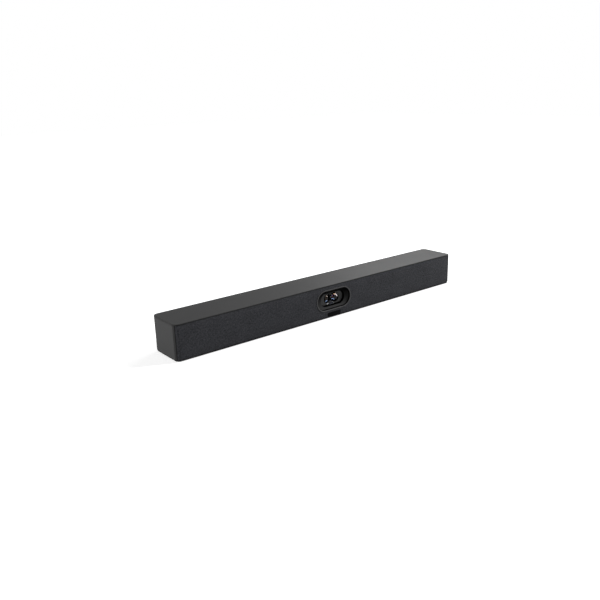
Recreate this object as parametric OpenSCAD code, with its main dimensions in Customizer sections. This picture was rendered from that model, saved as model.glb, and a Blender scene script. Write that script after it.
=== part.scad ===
// Conference camera bar. The origin is at the centre of its footprint, on the surface it stands on.
// X runs along the bar to its right, the front faces -Y, and Z is up.

/* [Body] */
// Width of the bar
body_w = 600; // [580:5:660]
// Depth of the bar, without the window ring
body_d = 68; // [66:1:76]
// Height of the bar above its feet
body_h = 57; // [56:0.5:62]
// Radius of the upright corners
corner_r = 8; // [7:0.5:9]
// Radius along the edges of the lid and the base
edge_r = 1; // [0.6:0.1:1.2]
// Thickness of the moulded walls
wall = 2.2; // [1.8:0.1:2.4]
// Height of the visible edge of the lid and of the base
cover_edge = 1.4; // [1.3:0.1:1.8]
// Height of the groove between a cover and the walls
reveal = 0.5; // [0.3:0.1:0.8]
// Depth of that groove
reveal_deep = 1; // [0.6:0.1:1.2]
// How far the lid's lip reaches down inside the walls
lid_lip = 1.2; // [0.8:0.1:1.6]
// How far the base's lip reaches up inside the walls
base_lip = 1.5; // [1:0.1:1.8]
// How far the base stands in from the walls
base_inset = 0.8; // [0.4:0.1:0.9]
// How far the feet stand out below the base
foot_proud = 1; // [0.8:0.1:2]
// Length of a foot
foot_l = 42; // [30:1:60]
// Width of a foot
foot_w = 10; // [6:0.5:12]
// Depth that a foot is let into the base
foot_sunk = 0.6; // [0.4:0.1:0.8]
// Distance of a foot's centre from the end of the bar
foot_end = 65; // [50:5:120]
// Distance of a foot's centre from the front or the back of the bar
foot_side = 12; // [11:0.5:16]

/* [Front] */
// Thickness of the cloth
cloth_t = 0.7; // [0.5:0.1:1]
// Thickness of the front frame
frame_t = 2.5; // [2:0.1:2.7]
// Depth of the front frame's corner strips, back from the front face
strip_deep = 5.5; // [5:0.1:6]
// Angle on the corner at which the cloth ends, from the side face
cloth_angle = 42; // [40:1:50]
// Angle on the corner at which the smooth strip ends
strip_angle = 37; // [30:1:38]
// Width of the seam between the strip and the end wall
seam = 0.3; // [0.2:0.05:0.5]
// Width of a sound slot in the front frame
slot_w = 2.6; // [2:0.1:3]
// Distance from one sound slot to the next
slot_pitch = 4.6; // [4.2:0.1:6]
// Height of a sound slot
slot_h = 34; // [24:1:38]
// Number of sound slots before each loudspeaker
slot_count = 14; // [6:1:16]

/* [Camera window] */
// Width of the raised ring
ring_w = 76; // [74:0.5:80]
// Height of the raised ring
ring_h = 37; // [36:0.5:38]
// Width of the ring's band
ring_band = 2; // [1.5:0.1:2.4]
// How far the ring stands out of the cloth
ring_proud = 0.6; // [0.3:0.1:1]
// Height of the window's centre above the middle of the bar
window_up = 2.75; // [2:0.25:3]
// Depth at which the ledge inside the ring begins
ledge_deep = 2; // [1.4:0.1:2.4]
// Width of the opening in the ledge
throat_w = 52.4; // [50:0.2:54]
// Height of the opening in the ledge
throat_h = 24.3; // [23:0.1:25]
// Depth at which the ledge ends
throat_deep = 3.6; // [3.2:0.1:3.8]
// Thickness of the bezel's flange
flange_t = 1; // [0.8:0.1:1.4]
// Width of the badge plate
badge_w = 28.5; // [20:0.5:34]
// Height of the badge plate
badge_h = 7; // [5:0.5:7.5]
// Thickness of the badge plate
badge_t = 0.4; // [0.3:0.1:0.5]
// Height of the badge plate above the lower edge of the cloth
badge_up = 0.5; // [0.3:0.1:1]

/* [Lenses] */
// Distance between the centres of the two lenses at their front rings
lens_pitch = 16.4; // [16.2:0.1:17.5]
// Angle by which each lens turns in towards the other
toe_in = 15; // [12:1:18]
// Depth of the lens rings behind the cloth
lens_deep = 8.8; // [8.6:0.1:10]
// Outer diameter of a lens ring
lens_ring_d = 16; // [15:0.1:16]
// Width of a lens ring's band
lens_ring_band = 0.6; // [0.6:0.1:1]
// Height of the domed front of the glass
dome_rise = 3; // [2.4:0.1:3.2]
// Height of the glass's straight skirt
dome_skirt = 2.2; // [1.6:0.1:2.6]
// Depth of the glass's edge behind the front of its ring
dome_sunk = 1.2; // [1:0.1:1.6]
// Length of a barrel behind the front of its ring
barrel_l = 21; // [19:0.5:22]
// Diameter of the light path in a barrel
barrel_bore = 11; // [9:0.5:12]
// Thickness of the mask plate round the lenses
mask_t = 3.6; // [3:0.1:4]
// Width of the mask plate
mask_w = 64; // [60:1:66]
// Height of the mask plate
mask_h = 28; // [27:0.5:28.5]
// Width of the status light's window
pipe_w = 10; // [8:0.5:12]
// Height of the status light's window
pipe_h = 2.6; // [2:0.1:3]
// Distance of the status light's window below the lenses
pipe_down = 9.6; // [9.4:0.1:10]

/* [Shutter] */
// Thickness of the shutter blade
blade_t = 1.2; // [1:0.1:1.3]
// How far the blade reaches past the opening on each side
blade_lap = 1.8; // [1.2:0.1:2]
// Clear gap between the parked blade and the closed one
park_gap = 3; // [2:0.5:6]
// Module of the rack and the pinion
gear_module = 0.8; // [0.8:0.05:0.9]
// Number of teeth on the pinion
pinion_teeth = 12; // [12:1:13]
// Play between the meshing teeth
gear_play = 0.12; // [0.1:0.01:0.2]
// Height of the rack's bar above its teeth
rack_bar = 1.2; // [1:0.1:1.6]
// Length of the rack beyond the blade's edge
rack_tail = 11; // [10:0.5:14]
// Diameter of the shutter motor
motor_d = 12; // [8:0.5:12]
// Length of the shutter motor
motor_l = 12; // [10:0.5:14]
// Diameter of the pinion's shaft
shaft_d = 2; // [1.5:0.1:2.4]
// Length of the shaft inside the motor
shaft_grip = 5; // [3:0.5:8]
// Margin of the guide plate round the blade's run
guide_margin = 3; // [2:0.5:4]

/* [Loudspeakers] */
// Wall of a speaker box
box_wall = 2; // [1.6:0.1:2.6]
// Depth of the speaker box's front behind the cloth
box_deep = 10; // [10:0.1:11]
// Clear space behind the speaker box
box_behind = 4; // [3:0.5:8]
// Side of the driver's square flange
driver_side = 48; // [46:0.5:49]
// Thickness of the driver's flange
driver_flange = 2; // [1.6:0.1:2.2]
// Diameter of the moving cone
cone_d = 36; // [32:0.5:37]
// Diameter of the rolled surround's section
roll_d = 4; // [3:0.1:4]
// Thickness of the surround
roll_t = 0.5; // [0.4:0.05:0.8]
// Travel of the cone each way
cone_travel = 1.5; // [0.8:0.1:1.5]
// Depth of the cone
cone_deep = 10; // [8:0.5:12]
// Thickness of the cone
cone_t = 0.8; // [0.6:0.1:1]
// Outer radius of the voice coil
coil_r = 7.6; // [7:0.1:8.4]
// Wall of the voice coil's former
coil_t = 0.6; // [0.4:0.1:0.8]
// Clear gap on each side of the voice coil
coil_gap = 0.3; // [0.25:0.05:0.4]
// Depth of the basket behind its flange
basket_deep = 17; // [15:0.5:20]
// Diameter of the magnet
magnet_d = 31; // [28:0.5:34]
// Length of the ring magnet
magnet_l = 8; // [6:0.5:10]
// Thickness of the magnet's two steel plates
pole_t = 3; // [2:0.1:4]

/* [Boards] */
// Thickness of a circuit board
pcb_t = 1.6; // [1.2:0.1:2]
// Distance of the main board's left edge from the middle
board_left = 112; // [110:1:113]
// How far the main board reaches past the port recess at its right end
board_past = 5; // [4:0.5:8]
// Distance of the main board from the bottom of the walls' hollow
board_up = 5.6; // [5:0.1:6]
// Depth of the main board, front to back
board_d = 23.8; // [22:0.1:24]
// Depth of the main board's front edge behind the cloth
board_deep = 25.9; // [25:0.1:26]
// Side of the processor
chip_side = 18; // [14:0.5:20]
// Thickness of the processor
chip_t = 1.4; // [1:0.1:2]
// Thickness of the thermal pad
pad_t = 0.8; // [0.5:0.1:1.5]
// Width of the heat sink
sink_w = 34; // [28:0.5:36]
// Height of the heat sink
sink_h = 26; // [16:0.5:30]
// Thickness of a heat sink fin
fin_t = 1; // [0.8:0.1:1.4]
// Number of heat sink fins
fin_count = 9; // [5:1:11]
// Side of a lens's sensor board
sensor_side = 15; // [14:0.5:16]
// Thickness of a sensor board
sensor_t = 1.2; // [1:0.1:1.6]
// Length of the microphone board
mic_l = 200; // [160:5:210]
// Height of the microphone board
mic_h = 3.8; // [3.4:0.1:4]
// Number of microphones
mic_count = 6; // [4:1:8]

/* [Ports] */
// Half width of the port recess
port_half = 65; // [60:0.5:66]
// Distance of the outermost ports from the recess's sides
port_edge = 8; // [6:0.5:12]
// Width of the power socket
dc_w = 9; // [8:0.5:11]
// Height of the power socket
dc_h = 11; // [10:0.5:12]
// Length of the power socket
dc_l = 14; // [10:0.5:15]
// Width of the display socket
hdmi_w = 15; // [14:0.5:16]
// Height of the display socket
hdmi_h = 6; // [5.5:0.1:7]
// Length of the display socket
hdmi_l = 11.5; // [10:0.5:13]
// Width of the large serial socket
usb_a_w = 13.2; // [12.5:0.1:14]
// Height of the large serial socket
usb_a_h = 6; // [5.6:0.1:7]
// Length of the large serial socket
usb_a_l = 14; // [12:0.5:15]
// Width of the small serial socket
usb_c_w = 9; // [8.6:0.1:9.4]
// Height of the small serial socket
usb_c_h = 3.2; // [3:0.1:3.4]
// Length of the small serial socket
usb_c_l = 8; // [7:0.5:10]
// Width of the network socket
lan_w = 16; // [15.5:0.1:17]
// Height of the network socket
lan_h = 13.5; // [13:0.1:14]
// Length of the network socket
lan_l = 16; // [15:0.5:16]
// Side of the reset switch
reset_body = 6; // [5:0.5:7]
// Height of the port recess
port_h = 24; // [22:0.5:26]
// Height of the port recess above the base's lip
port_up = 3.6; // [2:0.1:4]
// Diameter of the reset button
reset_d = 3; // [2.4:0.1:4]
// Travel of the reset button
reset_travel = 0.5; // [0.3:0.05:0.6]
// Width of a vent slot
vent_w = 2.5; // [1.5:0.1:3]
// Height of a vent slot
vent_h = 30; // [16:1:34]
// Distance from one vent slot to the next
vent_pitch = 5; // [4.5:0.1:5.2]
// Number of vent slots on each side
vent_count = 8; // [3:1:8]
// Length of the lock slot
lock_l = 7; // [6:0.1:7.5]
// Height of the lock slot
lock_h = 3; // [2.8:0.1:3.4]

/* [Fasteners and mounts] */
// Diameter of the tripod thread
tripod_d = 6.35; // [6:0.05:6.5]
// Depth of the tripod thread
tripod_l = 7; // [5:0.5:7]
// Outer diameter of the tripod insert
tripod_od = 9; // [8.5:0.1:10]
// Diameter of the bracket threads
bracket_d = 4; // [3:0.1:4]
// Depth of the bracket threads
bracket_l = 6; // [4:0.5:7]
// Outer diameter of a bracket insert
bracket_od = 5.6; // [5.4:0.1:6.5]
// Half the distance between the bracket threads along the bar
bracket_x = 95; // [93:1:97]
// Half the distance between the bracket threads front to back
bracket_y = 15; // [12:0.5:16]
// Diameter of a case screw's thread
screw_d = 2.5; // [2:0.1:2.8]
// Diameter of a case screw's head
screw_head_d = 5.4; // [4.6:0.1:5.6]
// Height of a case screw's head
screw_head_h = 1.6; // [1.2:0.1:1.8]
// Length of a case screw's thread in its pillar
screw_grip = 10; // [6:0.5:12]
// Diameter of the lid's screw pillars
pillar_d = 7; // [6:0.5:7.5]

/* [Hidden] */
$fn = 96;

// How far a cut runs past the face it opens
over = 1;
// Gap between parts that slide or drop in beside each other
gap = 0.3;
// Gap round a part that is held in its hole
fit = 0.05;

// The main planes of the body
front_y = ring_proud - (body_d + ring_proud) / 2;
back_y = front_y + body_d;
mid_y = front_y + body_d / 2;
base_z = foot_proud;
top_z = base_z + body_h;
wall_z0 = base_z + cover_edge + reveal;
wall_z1 = top_z - cover_edge - reveal;
floor_z = wall_z0 + base_lip;
ceiling_z = wall_z1 - lid_lip;
window_z = base_z + body_h / 2 + window_up;

// The front frame and what it leaves inside
frame_back = cloth_t + frame_t;
inner_front_y = front_y + frame_back + gap;
seam_y = front_y + strip_deep;

// The camera window, as depths behind the cloth
flange_back = frame_back + flange_t;
blade_front = flange_back + gap;
blade_back = blade_front + blade_t;
channel_back = blade_back + gap;
guide_t = 2.9;
guide_back = flange_back + guide_t;

// The blade and its run
blade_w = throat_w + 2 * blade_lap;
blade_h = throat_h + 2 * blade_lap;
blade_travel = blade_w + park_gap;
parked_x0 = blade_travel - blade_w / 2;
parked_x1 = blade_travel + blade_w / 2;
guide_x0 = -blade_w / 2 - rack_tail - guide_margin;
guide_x1 = parked_x1 + guide_margin;
guide_z1 = window_z + blade_h / 2 + guide_margin;

// The rack and the pinion
pressure_angle = 25;
tip_share = 0.9;
root_share = 1.25;
tooth_pitch = PI * gear_module;
pitch_r = gear_module * pinion_teeth / 2;
tip_r = pitch_r + tip_share * gear_module;
root_r = pitch_r - root_share * gear_module;
gear_base_r = pitch_r * cos(pressure_angle);
rack_line_z = window_z - blade_h / 2 - rack_bar - root_share * gear_module;
pinion_z = rack_line_z - pitch_r;
rack_bite = 4;
pinion_x = parked_x0 - rack_tail + rack_bite;
tooth_arc = 180 / PI;

// The lenses
lens_r = lens_ring_d / 2;
dome_r = lens_r - lens_ring_band - fit;
barrel_step = dome_sunk + dome_skirt;
sensor_hollow = 3;
dish_slope = 45;
dish_deep = 6;
dish_gap = 0.4;
clamp_from = 8;
clamp_l = 7;
clamp_wall = 2;

// The boards
board_z = floor_z + board_up;
board_top = board_z + pcb_t;
pocket_z0 = floor_z + port_up;
pocket_wall = 2;
board_y0 = front_y + board_deep;
board_y1 = board_y0 + board_d;
pocket_y = board_y1 + gap + pocket_wall;
socket_out = pocket_y;
lead_in = 2.5;
lead_room = 2 * lead_in;

// The ports along the board's rear edge, each with its width, height and length, evenly spaced
dc = 0;
hdmi = 1;
usb_a = 2;
usb_c = 3;
lan = 4;
reset = 5;
reset_up = 3.5;
ports = [
    [dc_w, dc_h, dc_l],
    [hdmi_w, hdmi_h, hdmi_l],
    [usb_a_w, usb_a_h, usb_a_l],
    [usb_c_w, usb_c_h, usb_c_l],
    [lan_w, lan_h, lan_l],
    [reset_body, reset_up + reset_body / 2, reset_body]
];
function widths(i) = i < 0 ? 0 : ports[i][0] + widths(i - 1);
port_space = (2 * port_half - 2 * port_edge - widths(reset)) / reset;
function port_x(i) = port_edge - port_half + widths(i - 1) + i * port_space + ports[i][0] / 2;
reset_x = port_x(reset);
reset_z = board_top + reset_up;
board_right = port_half + board_past;
chip_x = -board_left + lead_room + sink_w / 2;
chip_y = board_y0 + board_d / 2;

// The loudspeakers
box_front_y = front_y + box_deep;
basket_r = cone_d / 2 + roll_d;
basket_t = 1.2;
pole_r = coil_r - coil_t - coil_gap;
plate_hole_r = coil_r + coil_gap;

// The screw pillars of the lid, as places in plan: at the ends of the bar and beside the main board
pillar_in = 13;
pillar_deep = 18;
pillar_end_x = body_w / 2 - pillar_in;
pillar_mid_x = max(board_left, board_right) + gap + pillar_d / 2;
pillar_back_y = back_y - wall - pillar_d / 2 - 2 * gap;
pillar_front_y = front_y + pillar_deep;
pillar_xs = [-pillar_end_x, -pillar_mid_x, pillar_mid_x, pillar_end_x];

// The speaker boxes fill the bar between the pillars
box_x0 = pillar_mid_x + pillar_d / 2 + 2 * gap;
box_x1 = pillar_end_x - pillar_d / 2 - 2 * gap;
speaker_x = (box_x0 + box_x1) / 2;

// Small sizes of the covers, the wall and the front frame
boss_wall = 2.5;
boss_top = 1;
vent_in = 2;
vent_up = 8;
lock_x = 40;
lock_plate_t = 1.5;
mic_hole_d = 1.4;
badge_r = 2;
facet = 0.02;

// Small sizes of the camera and the shutter
pipe_back = 1;
ring_chamfer = 0.2;
bar_x = 40;
bar_t = 4;
bar_d = 6;
foot_out = 8;
sensor_w = 8;
sensor_h = 6;
sensor_chip_t = 0.9;
ribbon_w = 6;
ribbon_t = 0.3;
plug_h = 1.4;
plug_d = 3;
guide_foot = 9;
motor_cap = 0.8;
motor_cap_share = 0.5;

// Small sizes of the boards and the ports
hole_in = 4;
board_screw_d = 2.5;
board_screw_l = 4;
board_head_h = 1.4;
standoff_d = 5;
sink_base = 3;
small_chip = 9;
small_chip_t = 1.2;
small_chip_share = 0.7;
small_chip_pitch = 30;
mic_ribbon_x = -56;
mic_t = 1;
mic_can_w = 3.8;
mic_can_t = 1.1;
mic_can_h = 2.8;
shell_t = 0.4;
dc_hole_d = 6.4;
dc_pin_d = 2;
dc_back = 2;
hdmi_tongue_t = 1.2;
usb_a_tongue_t = 1.8;
usb_a_tongue_share = 0.62;
usb_c_tongue_t = 0.7;
usb_c_tongue_w = 6.6;
lan_wall = 2;
lan_top = 1.6;
latch_w = 6;
latch_h = 3;
reset_seat = 1.2;

// Small sizes of the loudspeakers
driver_hole = 3;
basket_window = 11;
basket_cuts = 3;
driver_screw_d = 2;
lip_w = 1.6;
lead_d = 1.6;

// Flat outline of a rectangle with rounded corners
module rounded(w, h, r) {
    square([w - 2 * r, h], center = true);
    square([w, h - 2 * r], center = true);
    for (sx = [-1, 1], sy = [-1, 1])
        translate([sx * (w / 2 - r), sy * (h / 2 - r)])
            circle(r);
}

// Flat outline with two half-round ends
module stadium(w, h) {
    square([w - h, h], center = true);
    for (s = [-1, 1])
        translate([s * (w - h) / 2, 0])
            circle(h / 2);
}

// Extrudes an outline seen from the front, between two depths behind the cloth
module facing(d0, d1, x = 0, z = window_z) {
    translate([x, front_y + d1, z])
        rotate([90, 0, 0])
            linear_extrude(d1 - d0)
                children();
}

// Upright column of the body's plan, inset from its outer faces
module column(inset, z0, z1) {
    translate([0, mid_y, z0])
        linear_extrude(z1 - z0)
            rounded(body_w - 2 * inset, body_d - 2 * inset, max(corner_r - inset, fit));
}

// Box given by its lowest and highest corners
module block(low, high) {
    translate(low)
        cube(high - low);
}

// Plan of a plate with a rounded upper edge, lying on its own base plane
module soft_plate(w, d, r, t, edge) {
    module side_profile(len) {
        translate([0, t / 2])
            square([len - 2 * edge, t], center = true);
        translate([0, (t - edge) / 2])
            square([len, t - edge], center = true);
        for (s = [-1, 1])
            translate([s * (len / 2 - edge), t - edge])
                intersection() {
                    circle(edge);
                    translate([-edge, 0])
                        square([2 * edge, edge]);
                }
    }
    rotate([90, 0, 0])
        translate([0, 0, -(d / 2 - r)])
            linear_extrude(d - 2 * r)
                side_profile(w);
    rotate([90, 0, 90])
        translate([0, 0, -(w / 2 - r)])
            linear_extrude(w - 2 * r)
                side_profile(d);
    for (sx = [-1, 1], sy = [-1, 1])
        translate([sx * (w / 2 - r), sy * (d / 2 - r), 0])
            rotate_extrude() {
                square([r, t - edge]);
                square([r - edge, t]);
                translate([r - edge, t - edge])
                    intersection() {
                        circle(edge);
                        square(edge);
                    }
            }
}

// Places a part at each screw pillar
module at_pillars() {
    for (x = pillar_xs, y = [pillar_front_y, pillar_back_y])
        translate([x, y, 0])
            children();
}

// Lid: a thin plate, the groove's step, a lip inside the walls and the screw pillars
module top_cover() {
    color("#4a4a4b")
        difference() {
            union() {
                translate([0, mid_y, top_z - cover_edge])
                    soft_plate(body_w, body_d, corner_r, cover_edge, edge_r);
                column(reveal_deep, wall_z1, top_z - cover_edge);
                block([-body_w / 2 + corner_r, inner_front_y, ceiling_z],
                      [body_w / 2 - corner_r, back_y - wall - gap, wall_z1]);
                at_pillars()
                    translate([0, 0, floor_z])
                        cylinder(d = pillar_d, h = wall_z1 - floor_z);
            }
            at_pillars()
                translate([0, 0, floor_z - over])
                    cylinder(d = screw_d, h = screw_grip + gap + over);
        }
}

// Base: the same build turned over, with the insert bosses and the screw and foot recesses
module bottom_cover() {
    color("#1c1c1d")
        difference() {
            union() {
                translate([0, mid_y, base_z + cover_edge])
                    mirror([0, 0, 1])
                        soft_plate(body_w - 2 * base_inset, body_d - 2 * base_inset,
                                   corner_r - base_inset, cover_edge, edge_r);
                column(base_inset + reveal_deep, base_z + cover_edge, wall_z0);
                block([-body_w / 2 + corner_r, inner_front_y, wall_z0],
                      [body_w / 2 - corner_r, back_y - wall - gap, floor_z]);
                translate([0, mid_y, wall_z0])
                    cylinder(d = tripod_od + 2 * boss_wall,
                             h = base_z + tripod_l + boss_top - wall_z0);
                at_brackets()
                    translate([0, 0, wall_z0])
                        cylinder(d = bracket_od + 2 * boss_wall,
                                 h = base_z + bracket_l + boss_top - wall_z0);
            }
            translate([0, mid_y, base_z - over])
                cylinder(d = tripod_od + 2 * fit, h = tripod_l + over);
            at_brackets()
                translate([0, 0, base_z - over])
                    cylinder(d = bracket_od + 2 * fit, h = bracket_l + over);
            at_pillars() {
                translate([0, 0, base_z - over])
                    cylinder(d = screw_d + 2 * gap, h = floor_z - base_z + 2 * over);
                translate([0, 0, base_z - over])
                    cylinder(d = screw_head_d + 2 * gap, h = screw_head_h + over);
            }
            at_feet(foot_sunk)
                rounded(foot_l, foot_w, foot_w / 2 - fit);
        }
}

// Places a part at each bracket thread
module at_brackets() {
    for (sx = [-1, 1], sy = [-1, 1])
        translate([sx * bracket_x, mid_y + sy * bracket_y, 0])
            children();
}

// Extrudes a foot's outline up from the standing surface into the base
module at_feet(sunk) {
    for (sx = [-1, 1], sy = [-1, 1])
        translate([sx * (body_w / 2 - foot_end), mid_y + sy * (body_d / 2 - foot_side), 0])
            linear_extrude(base_z + sunk)
                children();
}

module rubber_feet() {
    color("#141414")
        at_feet(foot_sunk)
            rounded(foot_l - 2 * fit, foot_w - 2 * fit, foot_w / 2 - 2 * fit);
}

// Wall of the back and both ends, with the port recess, the vents and the lock slot
module rear_housing() {
    color("#525253")
        difference() {
            union() {
                difference() {
                    column(0, wall_z0, wall_z1);
                    column(wall, wall_z0 - over, wall_z1 + over);
                    block([-body_w, front_y - over, wall_z0 - over],
                          [body_w, seam_y + seam, wall_z1 + over]);
                }
                block([-port_half - pocket_wall, pocket_y - pocket_wall, pocket_z0 - pocket_wall],
                      [port_half + pocket_wall, back_y - wall / 2, pocket_z0 + port_h + pocket_wall]);
            }
            block([-port_half, pocket_y, pocket_z0],
                  [port_half, back_y + over, pocket_z0 + port_h]);
            for (i = [dc:lan])
                block([port_x(i) - ports[i][0] / 2 - gap, pocket_y - pocket_wall - over, board_top - gap],
                      [port_x(i) + ports[i][0] / 2 + gap, pocket_y + over, board_top + ports[i][1] + gap]);
            translate([reset_x, pocket_y + over, reset_z])
                rotate([90, 0, 0])
                    cylinder(d = reset_d + 2 * gap, h = pocket_wall + 2 * over);
            for (s = [-1, 1], i = [0:vent_count - 1])
                translate([s * (vent_x + i * vent_pitch), back_y - wall / 2, vent_z])
                    rotate([90, 0, 0])
                        translate([0, 0, -wall])
                            linear_extrude(2 * wall)
                                rotate(90)
                                    stadium(vent_h, vent_w);
            lock_cut(wall);
        }
}
vent_x = port_half + pocket_wall + vent_w + vent_in;
vent_z = wall_z0 + vent_up + vent_h / 2;
lock_z = pocket_z0 + port_h + pocket_wall + (wall_z1 - pocket_z0 - port_h - pocket_wall) / 2;

module lock_cut(t) {
    translate([lock_x, back_y + over, lock_z])
        rotate([90, 0, 0])
            linear_extrude(wall + t + over)
                rounded(lock_l, lock_h, lock_h / 4);
}

module lock_plate() {
    color("#a8abad")
        difference() {
            block([lock_x - lock_l, back_y - wall - lock_plate_t, lock_z - lock_h],
                  [lock_x + lock_l, back_y - wall, lock_z + lock_h]);
            lock_cut(wall);
        }
}

// Plan of what lies before a line fanning out from the corner arc's centre at an angle
module before_angle(a) {
    k = body_d;
    cx = body_w / 2 - corner_r;
    cy = front_y + corner_r;
    translate([0, 0, base_z])
        linear_extrude(body_h)
            polygon([
                [-cx, cy], [-cx - k * cos(a), cy - k * sin(a)], [-cx - k, cy - 2 * k],
                [cx + k, cy - 2 * k], [cx + k * cos(a), cy - k * sin(a)], [cx, cy]
            ]);
}

// Front frame: the panel behind the cloth and the smooth corner strips
module grille_frame() {
    color("#333435")
        difference() {
            union() {
                difference() {
                    column(cloth_t, wall_z0, wall_z1);
                    column(frame_back, wall_z0 - over, wall_z1 + over);
                }
                difference() {
                    column(0, wall_z0, wall_z1);
                    column(cloth_t + frame_t, wall_z0 - over, wall_z1 + over);
                    before_angle(strip_angle);
                }
            }
            block([-body_w, seam_y, wall_z0 - over], [body_w, back_y + over, wall_z1 + over]);
            facing(-over, frame_back + over)
                stadium(ring_w + 2 * fit, ring_h + 2 * fit);
            for (s = [-1, 1], i = [0:slot_count - 1])
                facing(-over, frame_back + over, s * speaker_x + (i - (slot_count - 1) / 2) * slot_pitch,
                       driver_z)
                    rotate(90)
                        stadium(slot_h, slot_w);
            for (x = mic_xs)
                facing(-over, frame_back + over, x, mic_z)
                    circle(d = mic_hole_d);
        }
}
driver_z = (floor_z + ceiling_z) / 2;
mic_z = ceiling_z - gap - mic_h / 2;
mic_xs = [for (i = [0:mic_count - 1]) (i - (mic_count - 1) / 2) * (mic_l - 4 * mic_h) / (mic_count - 1)];

// Cloth over the whole front, wrapped round both corners
module grille_fabric() {
    color("#343437")
        difference() {
            intersection() {
                difference() {
                    column(0, wall_z0 + seam, wall_z1 - seam);
                    column(cloth_t, wall_z0 - over, wall_z1 + over);
                }
                before_angle(cloth_angle);
            }
            facing(-over, frame_back)
                stadium(ring_w + 2 * fit, ring_h + 2 * fit);
        }
}

// Raised ring round the window
module window_rim() {
    color("#6b6b6d")
        difference() {
            facing(-ring_proud, frame_back)
                stadium(ring_w, ring_h);
            facing(-ring_proud - over, frame_back + over)
                stadium(ring_w - 2 * ring_band, ring_h - 2 * ring_band);
        }
}

// Sloping ledge inside the ring, on a flange that also covers the shutter's run
ledge_w = ring_w - 2 * ring_band - 2 * fit;
ledge_h = ring_h - 2 * ring_band - 2 * fit;
module window_bezel() {
    color("#3c3c3d")
        difference() {
            union() {
                facing(ledge_deep, flange_back)
                    stadium(ledge_w, ledge_h);
                translate([(guide_x0 + guide_x1) / 2, 0, 0])
                    facing(frame_back, flange_back, 0, (flange_z0 + guide_z1) / 2)
                        rounded(guide_x1 - guide_x0, guide_z1 - flange_z0, guide_margin);
            }
            hull() {
                facing(ledge_deep - facet, ledge_deep)
                    stadium(ledge_w, ledge_h);
                facing(throat_deep, throat_deep + facet)
                    stadium(throat_w, throat_h);
            }
            facing(ledge_deep, flange_back + over)
                stadium(throat_w, throat_h);
        }
}
flange_z0 = window_z - blade_h / 2 - guide_margin - rack_bar;

module badge_plate() {
    color("#3a3a3c")
        facing(-badge_t, 0, 0, badge_z)
            rounded(badge_w, badge_h, badge_r);
}
badge_z = wall_z0 + seam + badge_up + badge_h / 2;

// Puts parts on a lens's own axis: Z runs out of the lens, and zero is the front of its ring
module on_lens(side) {
    translate([side * lens_pitch / 2, front_y + lens_deep, window_z])
        rotate([0, 0, -side * toe_in])
            rotate([90, 0, 0])
                children();
}

// Plate round the lenses, with a dish and a hole for each
module lens_mask() {
    color("#3b3b3c")
        difference() {
            facing(guide_back, guide_back + mask_t)
                rounded(mask_w, mask_h, guide_margin);
            for (s = [-1, 1])
                on_lens(s) {
                    translate([0, 0, -dish_gap])
                        cylinder(r1 = lens_r + dish_gap, r2 = lens_r + dish_gap + dish_deep * tan(dish_slope),
                                 h = dish_deep);
                    translate([0, 0, -barrel_l])
                        cylinder(r = lens_r + dish_gap, h = barrel_l);
                }
            facing(guide_back - over, guide_back + mask_t + over, 0, window_z - pipe_down)
                stadium(pipe_w + 2 * fit, pipe_h + 2 * fit);
        }
}

module status_light_pipe() {
    color("#15171c")
        facing(guide_back, guide_back + mask_t + pipe_back, 0, window_z - pipe_down)
            stadium(pipe_w, pipe_h);
}

// Domed front glass with the skirt that its barrel holds
module lens_dome(side) {
    ball_r = (dome_r * dome_r + dome_rise * dome_rise) / (2 * dome_rise);
    color("#20242c")
        on_lens(side) {
            translate([0, 0, -barrel_step])
                cylinder(r = dome_r, h = dome_skirt);
            intersection() {
                translate([0, 0, -dome_sunk + dome_rise - ball_r])
                    sphere(ball_r);
                translate([0, 0, -dome_sunk])
                    cylinder(r = dome_r, h = dome_rise);
            }
        }
}
module lens_dome_left() { lens_dome(-1); }
module lens_dome_right() { lens_dome(1); }

module lens_ring(side) {
    color("#1d1d1f")
        on_lens(side)
            rotate_extrude()
                polygon([
                    [lens_r - lens_ring_band, -barrel_step + dome_sunk],
                    [lens_r, -barrel_step + dome_sunk],
                    [lens_r, -ring_chamfer],
                    [lens_r - ring_chamfer, 0],
                    [lens_r - lens_ring_band + ring_chamfer, 0],
                    [lens_r - lens_ring_band, -ring_chamfer]
                ]);
}
module lens_ring_left() { lens_ring(-1); }
module lens_ring_right() { lens_ring(1); }

// Barrel with a seat for the glass, the light path and a hollow for the sensor
module lens_barrel(side) {
    color("#2a2a2c")
        on_lens(side)
            difference() {
                translate([0, 0, -barrel_l])
                    cylinder(r = lens_r, h = barrel_l - barrel_step + dome_sunk);
                translate([0, 0, -barrel_step])
                    cylinder(r = dome_r + fit, h = barrel_step);
                translate([0, 0, -barrel_l - over])
                    cylinder(d = barrel_bore, h = barrel_l);
                translate([0, 0, -barrel_l - over])
                    cylinder(r = lens_r - lens_ring_band, h = sensor_hollow + over);
            }
}
module lens_barrel_left() { lens_barrel(-1); }
module lens_barrel_right() { lens_barrel(1); }

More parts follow.
